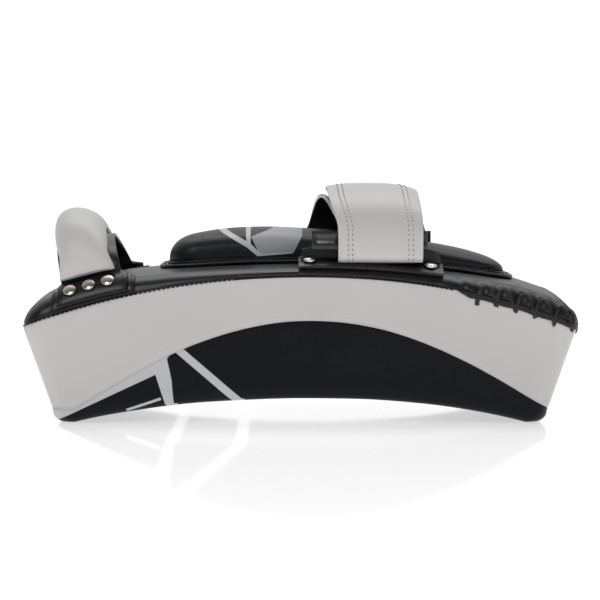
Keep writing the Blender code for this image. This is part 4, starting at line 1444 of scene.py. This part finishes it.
@dataclass
class ForearmStrap:
    """The strap over the forearm: a lined white strap that folds round a ring and closes on itself."""

    form: PadForm
    finishes: Finishes
    middle_x: float = 58 * MM
    half_width: float = 30.5 * MM
    half_span: float = 84 * MM
    crest_z: float = 156.5 * MM
    foot_z: float = 122 * MM
    power: float = 2.8
    lining_gain: tuple[float, float] = (27 * MM, 13 * MM)   # what it gains towards its far foot on each side
    lining_curl: float = 7 * MM     # its free edge curls up round the other layers
    lining_thickness: float = 3 * MM
    strap_thickness: float = 2 * MM
    tape_thickness: float = 2.8 * MM
    flap_end: float = 0.62
    far_end: float = 0.90
    crest_shift: float = -5 * MM    # the strap leans towards the handle over its crest
    crest_gain: float = 0.09        # share of its width that the padding under it gives it there
    crest_droop: tuple[float, float] = (2.5 * MM, 4.5 * MM)  # how far its edges bend down there
    anchor_x: float = 51 * MM
    anchor_half: float = 52 * MM
    anchor_loop_half: float = 31.5 * MM
    anchor_thickness: float = 2 * MM
    brim_offset: float = 2.7 * MM
    ring_x: float = 50.3 * MM
    ring_leg: float = 3.2 * MM
    hinge_y: float = -76.5 * MM
    hinge_z: float = 132 * MM
    # A line across the folded end. It slopes outwards, so the crest falls before its start; nothing in the
    # script bends the flap along it.
    fold_start: tuple[float, float, float] = (58 * MM, -90.5 * MM, 118.5 * MM)
    fold_end: tuple[float, float, float] = (58 * MM, -101.5 * MM, 131 * MM)

    def arch(self, share: float) -> Vector:
        """The arch's inner face in the plane across the pad, from its near foot to its far one."""
        angle, power = math.pi * share, 2 / self.power
        across = -math.copysign(abs(math.cos(angle)) ** power, math.cos(angle))
        return Vector((0, across * self.half_span,
                       self.foot_z + (self.crest_z - self.foot_z) * abs(math.sin(angle)) ** power))

    def arch_normal(self, share: float) -> Vector:
        """The arch's outward normal."""
        step = 0.004
        run = self.arch(min(share + step, 1.0)) - self.arch(max(share - step, 0.0))
        return Vector((0, -run.z, run.y)).normalized()

    def even_shares(self, start: float, end: float, count: int) -> list[float]:
        """Shares that step evenly along the arch's length."""
        fine = spread(start, end, 600)
        lengths = [0.0]
        for a, b in zip(fine, fine[1:]):
            lengths.append(lengths[-1] + (self.arch(b) - self.arch(a)).length)
        return list(np.interp(spread(0.0, lengths[-1], count), lengths, fine))

    def crest(self, z: float) -> float:
        """How near a height is to the crest, eased from 0 to 1."""
        share = min(max((z - 138 * MM) / (172 * MM - 138 * MM), 0.0), 1.0)
        return share * share * (3 - 2 * share)

    def shift(self, z: float) -> float:
        """How far the strap leans towards the handle at a height."""
        return self.crest_shift * self.crest(z)

    def across(self, spot: Vector, normal: Vector, offset: float) -> Vector:
        """A place across the strap, with its width and its bent edges at that height.

        Args:
            spot: The strap's middle line.
            normal: The outward normal there.
            offset: How far from the middle line on a flat strap.

        Returns:
            The place.
        """
        crest = self.crest(spot.z)
        droop = self.crest_droop[offset > 0] * min(abs(offset) / self.half_width, 1.15) ** 3 * crest
        return Vector((self.middle_x + self.shift(spot.z) + offset * (1 + self.crest_gain * crest),
                       spot.y, spot.z)) - normal * droop

    def rows(self, start: float, end: float, count: int, layer: Layer, half: float,
             extra: float = 0.0) -> list[Row]:
        """Rows of one layer of the strap.

        Args:
            start: Share of the arch where it starts.
            end: Share where it ends.
            count: Steps between.
            layer: Which layer.
            half: Its half width.
            extra: Added to the layer's offset.

        Returns:
            The rows, each from -X to +X.
        """
        made = []
        for share in self.even_shares(start, end, count):
            normal = self.arch_normal(share)
            spot = self.arch(share) + normal * (layer.value + extra)
            made.append([self.across(spot, normal, w * half) for w in spread(-1.0, 1.0, 20)])
        return made

    def fold_rows(self, half: float, extra: float = 0.0) -> list[Row]:
        """Rows round the fold under the ring's bar, from the strap to the flap."""
        radius = (Layer.FLAP.value - Layer.STRAP.value) / 2
        centre_y = -(self.half_span + Layer.STRAP.value + radius)
        made = []
        for angle in spread(0.0, 180.0, 14):
            turn = math.radians(angle)
            reach = radius + extra
            y, z = centre_y + reach * math.cos(turn), self.foot_z - reach * math.sin(turn)
            made.append([Vector((self.middle_x + w * half, y, z)) for w in spread(-1.0, 1.0, 20)])
        return made

    def build(self) -> None:
        """Builds every layer of the strap, its ring, its anchors and its stitching."""
        self.lining()
        self.strap()
        self.flap()
        self.tapes()
        self.anchors()
        self.ring()
        self.thread()

    def lining(self) -> None:
        """The glossy padded inner panel, wrinkled where it bends over the crest."""
        rows = []
        for share in self.even_shares(0.0, 1.0, 90):
            reach = max((share - 0.15) / 0.85, 0.0)
            left = self.half_width + self.lining_gain[0] * reach ** 1.8
            right = self.half_width + self.lining_gain[1] * reach ** 2.6
            spot, normal = self.arch(share), self.arch_normal(share)
            curl = math.sin(math.pi * min(max((share - 0.28) / 0.62, 0.0), 1.0)) ** 0.8
            row = []
            for w in spread(-1.0, 1.0, 36):
                across = w * (left if w < 0 else right)
                crease = noise.noise(Vector((across / (11 * MM), share * 26, 3.3)))
                past = min(max((-across - self.half_width + 3 * MM) / (9 * MM), 0.0), 1.0)
                lift = 0.55 * MM * crease * (1 - w * w)
                lift += self.lining_curl * curl * past * past * (3 - 2 * past)
                row.append(self.across(spot, normal, across) + normal * lift)
            rows.append(row)
        lining = leather_sheet("strap_padded_lining", rows, self.lining_thickness - 0.3 * MM)
        dress(lining, self.finishes.glossy_lining, PAD, "black_leather", ("strap_lining",))

    def strap(self) -> None:
        """The white strap behind the ring, sewn to the lining at its far end."""
        rows = self.rows(0.0, self.far_end, 80, Layer.STRAP, self.half_width)
        strap = leather_sheet("strap_band", rows, self.strap_thickness)
        dress(strap, self.finishes.white_leather, PAD, "white_leather", ("strap_main",))

    def flap(self) -> None:
        """The strap's end: round under the bar, up the outside and over the crest."""
        rows = self.fold_rows(self.half_width)
        rows += self.rows(0.0, self.flap_end, 60, Layer.FLAP, self.half_width)[1:]
        flap = leather_sheet("strap_folded_end", rows, self.strap_thickness)
        ripple(flap, 40 * MM, 0.35 * MM, 9.1)
        dress(flap, self.finishes.white_leather, "", "white_leather", ("strap_flap",))
        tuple(self.fold_start)
        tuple(self.fold_end)
        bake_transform(flap)
        rows = self.rows(0.10, self.flap_end - 0.01, 50, Layer.FLAP_LINING, self.half_width - 0.6 * MM)
        back = leather_sheet("strap_end_lining", rows, 1.2 * MM)
        dress(back, self.finishes.black_leather, FLAP, "black_leather", ("flap_lining",))

    def tapes(self) -> None:
        """The two halves of the closing tape, hooks on the strap and loops on the flap."""
        for name, layer, body, node in (("closing_tape_hooks", Layer.HOOK, PAD, "hook_tape"),
                                        ("closing_tape_loops", Layer.LOOP, FLAP, "loop_tape")):
            rows = self.rows(0.20, 0.60, 40, layer, self.half_width - 4 * MM)
            tape = leather_sheet(name, rows, self.tape_thickness)
            dress(tape, self.finishes.hook_tape, body, "hook_tape", (node,))

    def brim(self, side: int, half: float) -> list[Row]:
        """Rows of an anchor's foot over the roll."""
        return [[self.form.roll_point(self.anchor_x + w * half, side, angle, self.brim_offset)
                 for w in spread(-1.0, 1.0, 24)] for angle in (37, 45, 53, 61, 69, 77, 84, 90)]

    def anchors(self) -> None:
        """The leather feet that hold the ring on the near side and the lining on the far side."""
        for side, label in ((-1, "near"), (1, "far")):
            patch = roll_patch(self.form, f"strap_base_patch_{label}", self.anchor_x, self.anchor_half, side,
                               0.9 * MM, 1.2 * MM)
            dress(patch, self.finishes.black_leather, PAD, "black_leather", (f"strap_patch_{label}",))
        radius = 2.6 * MM
        plate_y = self.hinge_y - radius
        rows = self.brim(-1, self.anchor_half)
        last = rows[-1]
        for share in (0.5, 1.0):
            rows.append([p.lerp(Vector((p.x, plate_y + 0.4 * MM, p.z + 3.5 * MM)), share) for p in last])
        narrow = self.anchor_loop_half / self.anchor_half
        for share in spread(0.0, 1.0, 12)[1:]:
            squeeze = float(np.interp(share, (0.0, 0.5, 0.75, 1.0), (1.0, 0.95, narrow, narrow)))
            rows.append([Vector((self.anchor_x + (p.x - self.anchor_x) * squeeze, plate_y,
                                 p.z + 3.5 * MM + (self.hinge_z - p.z - 3.5 * MM) * share)) for p in last])
        level = rows[-1]
        for angle in range(165, -31, -15):
            turn = math.radians(angle)
            rows.append([Vector((p.x, self.hinge_y + radius * math.cos(turn),
                                 self.hinge_z + radius * math.sin(turn))) for p in level])
        near = leather_sheet("strap_ring_anchor", rows, self.anchor_thickness)
        dress(near, self.finishes.black_leather, PAD, "black_leather", ("strap_anchor_near",))
        rows = self.brim(1, self.anchor_half)
        last = rows[-1]
        inside = self.half_span - self.anchor_thickness - 1.2 * MM
        for share in spread(0.0, 1.0, 10)[1:]:
            rows.append([Vector((p.x, p.y + (inside - 2.5 * MM * share - p.y) * min(share * 2.5, 1.0),
                                 p.z + (self.foot_z + 12 * MM - p.z) * share)) for p in last])
        far = leather_sheet("strap_far_anchor", rows[::-1], self.anchor_thickness)
        dress(far, self.finishes.black_leather, PAD, "black_leather", ("strap_anchor_far",))

    def ring(self) -> None:
        """The moulded keeper ring, one bar in front of the strap and a rod in the anchor's fold."""
        bar_low, bar_high = (Vector(c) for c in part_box("strap_ring"))
        half, depth, height = (bar_high.x - bar_low.x) / 2, 2.4 * MM, 13 * MM
        front_y = bar_low.y
        deselect()
        middle = (self.ring_x, front_y + depth / 2, self.hinge_z - 0.5 * MM)
        bpy.ops.mesh.primitive_cube_add(size=1, location=middle, scale=(2 * half, depth, height))
        ring = place_in_mesh(bpy.context.active_object)
        ring.name = "keeper_ring"
        make_active(ring)
        bpy.ops.object.mode_set(mode="EDIT")
        bpy.ops.mesh.select_mode(type="FACE")
        bpy.ops.mesh.select_all(action="SELECT")
        for side in (-1, 1):
            cut = self.ring_x + side * (half - self.ring_leg)
            bpy.ops.mesh.select_all(action="SELECT")
            bpy.ops.mesh.bisect(plane_co=(cut, 0, 0), plane_no=(1, 0, 0))
        for level in (-3.5 * MM, 3.5 * MM):
            bpy.ops.mesh.select_all(action="SELECT")
            bpy.ops.mesh.bisect(plane_co=(0, 0, self.hinge_z + level), plane_no=(0, 0, 1))
        bpy.ops.mesh.select_all(action="DESELECT")
        work = bmesh.from_edit_mesh(ring.data)
        for face in work.faces:
            middle = face.calc_center_median()
            at_end = abs(middle.x - self.ring_x) > half - self.ring_leg
            face.select_set(face.normal.y > 0.9 and at_end and abs(middle.z - self.hinge_z) < 3.4 * MM)
        bmesh.update_edit_mesh(ring.data)
        reach = self.hinge_y + 3.0 * MM - (front_y + depth)
        bpy.ops.mesh.extrude_region_move(TRANSFORM_OT_translate={"value": (0, reach, 0)})
        bpy.ops.mesh.select_all(action="DESELECT")
        work = bmesh.from_edit_mesh(ring.data)
        for face in work.faces:
            middle = face.calc_center_median()
            inner = abs(middle.x - self.ring_x) < half - self.ring_leg
            face.select_set(face.normal.y < -0.9 and inner and abs(middle.z - self.hinge_z) < 3.4 * MM)
        bmesh.update_edit_mesh(ring.data)
        bpy.ops.mesh.inset(thickness=0.9 * MM)
        bpy.ops.transform.translate(value=(0, 0.45 * MM, 0))
        bpy.ops.object.mode_set(mode="OBJECT")
        deselect()
        bpy.ops.mesh.primitive_cylinder_add(vertices=24, radius=2.2 * MM, depth=2 * half - self.ring_leg,
                                            location=(self.ring_x, self.hinge_y, self.hinge_z),
                                            rotation=(0, math.radians(90), 0))
        rod = place_in_mesh(bpy.context.active_object)
        settle(ring, ("BOOLEAN", {"object": rod, "operation": "UNION", "solver": "EXACT"}),
               ("BEVEL", {"width": 0.6 * MM, "segments": 3, "limit_method": "ANGLE",
                          "angle_limit": math.radians(40)}))
        bpy.data.objects.remove(rod, do_unlink=True)
        make_active(ring)
        bpy.ops.object.shade_smooth_by_angle(angle=math.radians(35))
        deselect()
        dress(ring, self.finishes.moulded_nylon, RING, "moulded_ring", ("strap_ring",))

    def thread(self) -> None:
        """The strap's double rows of stitches, the anchors' box stitches and the patches' edge rows."""
        seams = []
        surface_lift = self.strap_thickness
        for inset in (7.2 * MM, 10.4 * MM):
            for side in (-1, 1):
                half = self.half_width - inset
                path, normals = [], []
                for angle in spread(40.0, 180.0, 24):
                    turn = math.radians(angle)
                    radius = (Layer.FLAP.value - Layer.STRAP.value) / 2 + surface_lift
                    centre_y = -(self.half_span + Layer.STRAP.value + radius - surface_lift)
                    path.append(Vector((self.middle_x + side * half, centre_y + radius * math.cos(turn),
                                        self.foot_z - radius * math.sin(turn))))
                    normals.append(Vector((0, math.cos(turn), -math.sin(turn))))
                for share in self.even_shares(0.0, self.flap_end - 0.012, 160)[1:]:
                    normal = self.arch_normal(share)
                    spot = self.arch(share) + normal * (Layer.FLAP.value + surface_lift)
                    path.append(self.across(spot, normal, side * half))
                    normals.append(normal)
                seams.append((path, normals))
        rows = stitching("strap_end_stitches", seams, 3.6 * MM, 1.7 * MM, 0.34 * MM)
        # Painted shade: this white thread is coloured grey for the shade of its stitch holes.
        dress(rows, self.finishes.white_thread_painted_shade, "", "white_leather")
        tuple(self.fold_start)
        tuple(self.fold_end)
        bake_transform(rows)
        seams = []
        for side in (-1, 1):
            for dx in (-1, 1):
                x = self.anchor_x + dx * (self.anchor_half - 2.2 * MM)
                angles = spread(5, 34, 20)
                seams.append(([self.form.roll_point(x, side, a, 2.1 * MM) for a in angles],
                              [self.form.roll_normal(x, side, a) for a in angles]))
            reach = self.anchor_half - 3 * MM
            xs = spread(self.anchor_x - reach, self.anchor_x + reach, 60)
            lift = self.brim_offset + self.anchor_thickness
            seams.append(([self.form.roll_point(x, side, 41.0, lift) for x in xs],
                          [self.form.roll_normal(x, side, 41.0) for x in xs]))
        rows = stitching("strap_anchor_stitches", seams, 3.6 * MM, 2.7 * MM, 0.32 * MM)
        dress(rows, self.finishes.black_thread, PAD, "black_leather")


@dataclass
class Studio:
    """A pale glossy floor, a white room, soft lights and the camera."""

    distance: float = 1.9
    camera_height: float = 0.18
    target: tuple[float, float, float] = (0.0, -0.1, 0.0886)
    lens: float = 150.7
    front_room: float = 0.07
    back_room: float = 0.75
    floor_glow: float = 0.52
    floor_size: float = 80
    floor_z: float = -0.0004        # just under the pad, so the two don't share a plane
    backdrop: float = 1.05          # what the camera sees past the floor, a clean white
    lamps: tuple = (
        ("overhead_softbox", (0.1, 0.55, 1.3), (0, 0, 0.05), (1.5, 0.8), 8.5),
        ("front_key", (-0.7, -1.5, 1.5), (0, 0, 0.06), (0.7, 0.7), 12),
        ("front_low", (0.9, -1.9, 0.7), (0, 0, 0.06), (0.6, 0.6), 6.5),
    )

    def build(self) -> None:
        """Sets the camera, the floor, the world and the lights."""
        self.camera()
        self.floor()
        self.light()

    def camera(self) -> None:
        """A long lens, a little above the pad's middle."""
        made = bpy.data.cameras.new("camera")
        made.lens, made.sensor_width = self.lens, 36
        item = bpy.data.objects.new("camera", made)
        item.location = (0, -self.distance, self.camera_height)
        aim = Vector(self.target) - item.location
        item.rotation_euler = aim.to_track_quat("-Z", "Y").to_euler()
        bpy.context.scene.collection.objects.link(item)
        bpy.context.scene.camera = item

    def floor(self) -> None:
        """A white acrylic table top that mirrors the pad faintly and fades into the room."""
        deselect()
        bpy.ops.mesh.primitive_plane_add(size=self.floor_size, location=(0, 0, self.floor_z))
        table = bpy.context.active_object
        table.name = "studio_floor"
        made, tree, shader = new_material("white_acrylic_table", Roughness=0.07, IOR=1.45,
                                          Emission_Color=(1, 1, 1, 1), Emission_Strength=self.floor_glow)
        place = add_node(tree, "ShaderNodeTexCoord").outputs["Object"]
        haze = add_node(tree, "ShaderNodeTexNoise", {"Vector": place, "Scale": 6.0, "Detail": 2.0})
        tint = add_node(tree, "ShaderNodeMix",
                        {0: haze.outputs["Fac"], "A": linear("fcfcfc"), "B": linear("f8f8f9")},
                        data_type="RGBA")
        tree.links.new(tint.outputs["Result"], shader.inputs["Base Color"])
        table.data.materials.append(made)
        deselect()

    def light(self) -> None:
        """A room that is bright behind the pad and dim in front, with soft boxes overhead."""
        scene = bpy.context.scene
        world = bpy.data.worlds.new("white_room")
        world.use_nodes = True
        tree = world.node_tree
        out = tree.nodes["World Output"]
        room = tree.nodes["Background"]
        room.inputs["Color"].default_value = (1, 1, 1, 1)
        toward = add_node(tree, "ShaderNodeTexCoord").outputs["Generated"]
        ahead = add_node(tree, "ShaderNodeSeparateXYZ", {0: toward})
        bright = add_node(tree, "ShaderNodeMapRange",
                          {"Value": ahead.outputs["Y"], "From Min": -0.4, "From Max": 0.7,
                           "To Min": self.front_room, "To Max": self.back_room},
                          interpolation_type="SMOOTHSTEP")
        tree.links.new(bright.outputs[0], room.inputs["Strength"])
        backdrop = add_node(tree, "ShaderNodeBackground", {"Color": (1, 1, 1, 1), "Strength": self.backdrop})
        seen = add_node(tree, "ShaderNodeLightPath")
        both = add_node(tree, "ShaderNodeMixShader", {0: seen.outputs["Is Camera Ray"], 1: room.outputs[0],
                                                      2: backdrop.outputs[0]})
        tree.links.new(both.outputs[0], out.inputs["Surface"])
        scene.world = world
        for name, place, aim, size, power in self.lamps:
            lamp = bpy.data.lights.new(name, "AREA")
            lamp.shape, lamp.size, lamp.size_y, lamp.energy = "RECTANGLE", size[0], size[1], power
            item = bpy.data.objects.new(name, lamp)
            item.location = place
            item.rotation_euler = (Vector(aim) - Vector(place)).to_track_quat("-Z", "Y").to_euler()
            scene.collection.objects.link(item)
        scene.view_settings.view_transform = "Standard"
        scene.view_settings.look = "None"


def main() -> None:
    """Builds the studio and the pad, and reports each piece."""
    logging.basicConfig(level=logging.INFO, format="%(name)s: %(message)s")
    Studio().build()
    form, finishes = PadForm(), Finishes()
    for part in (PaddedBody, LacedEnd, ForearmCushion, Handle, ForearmStrap, Rivets):
        part(form, finishes).build()


if __name__ == "__main__":
    main()
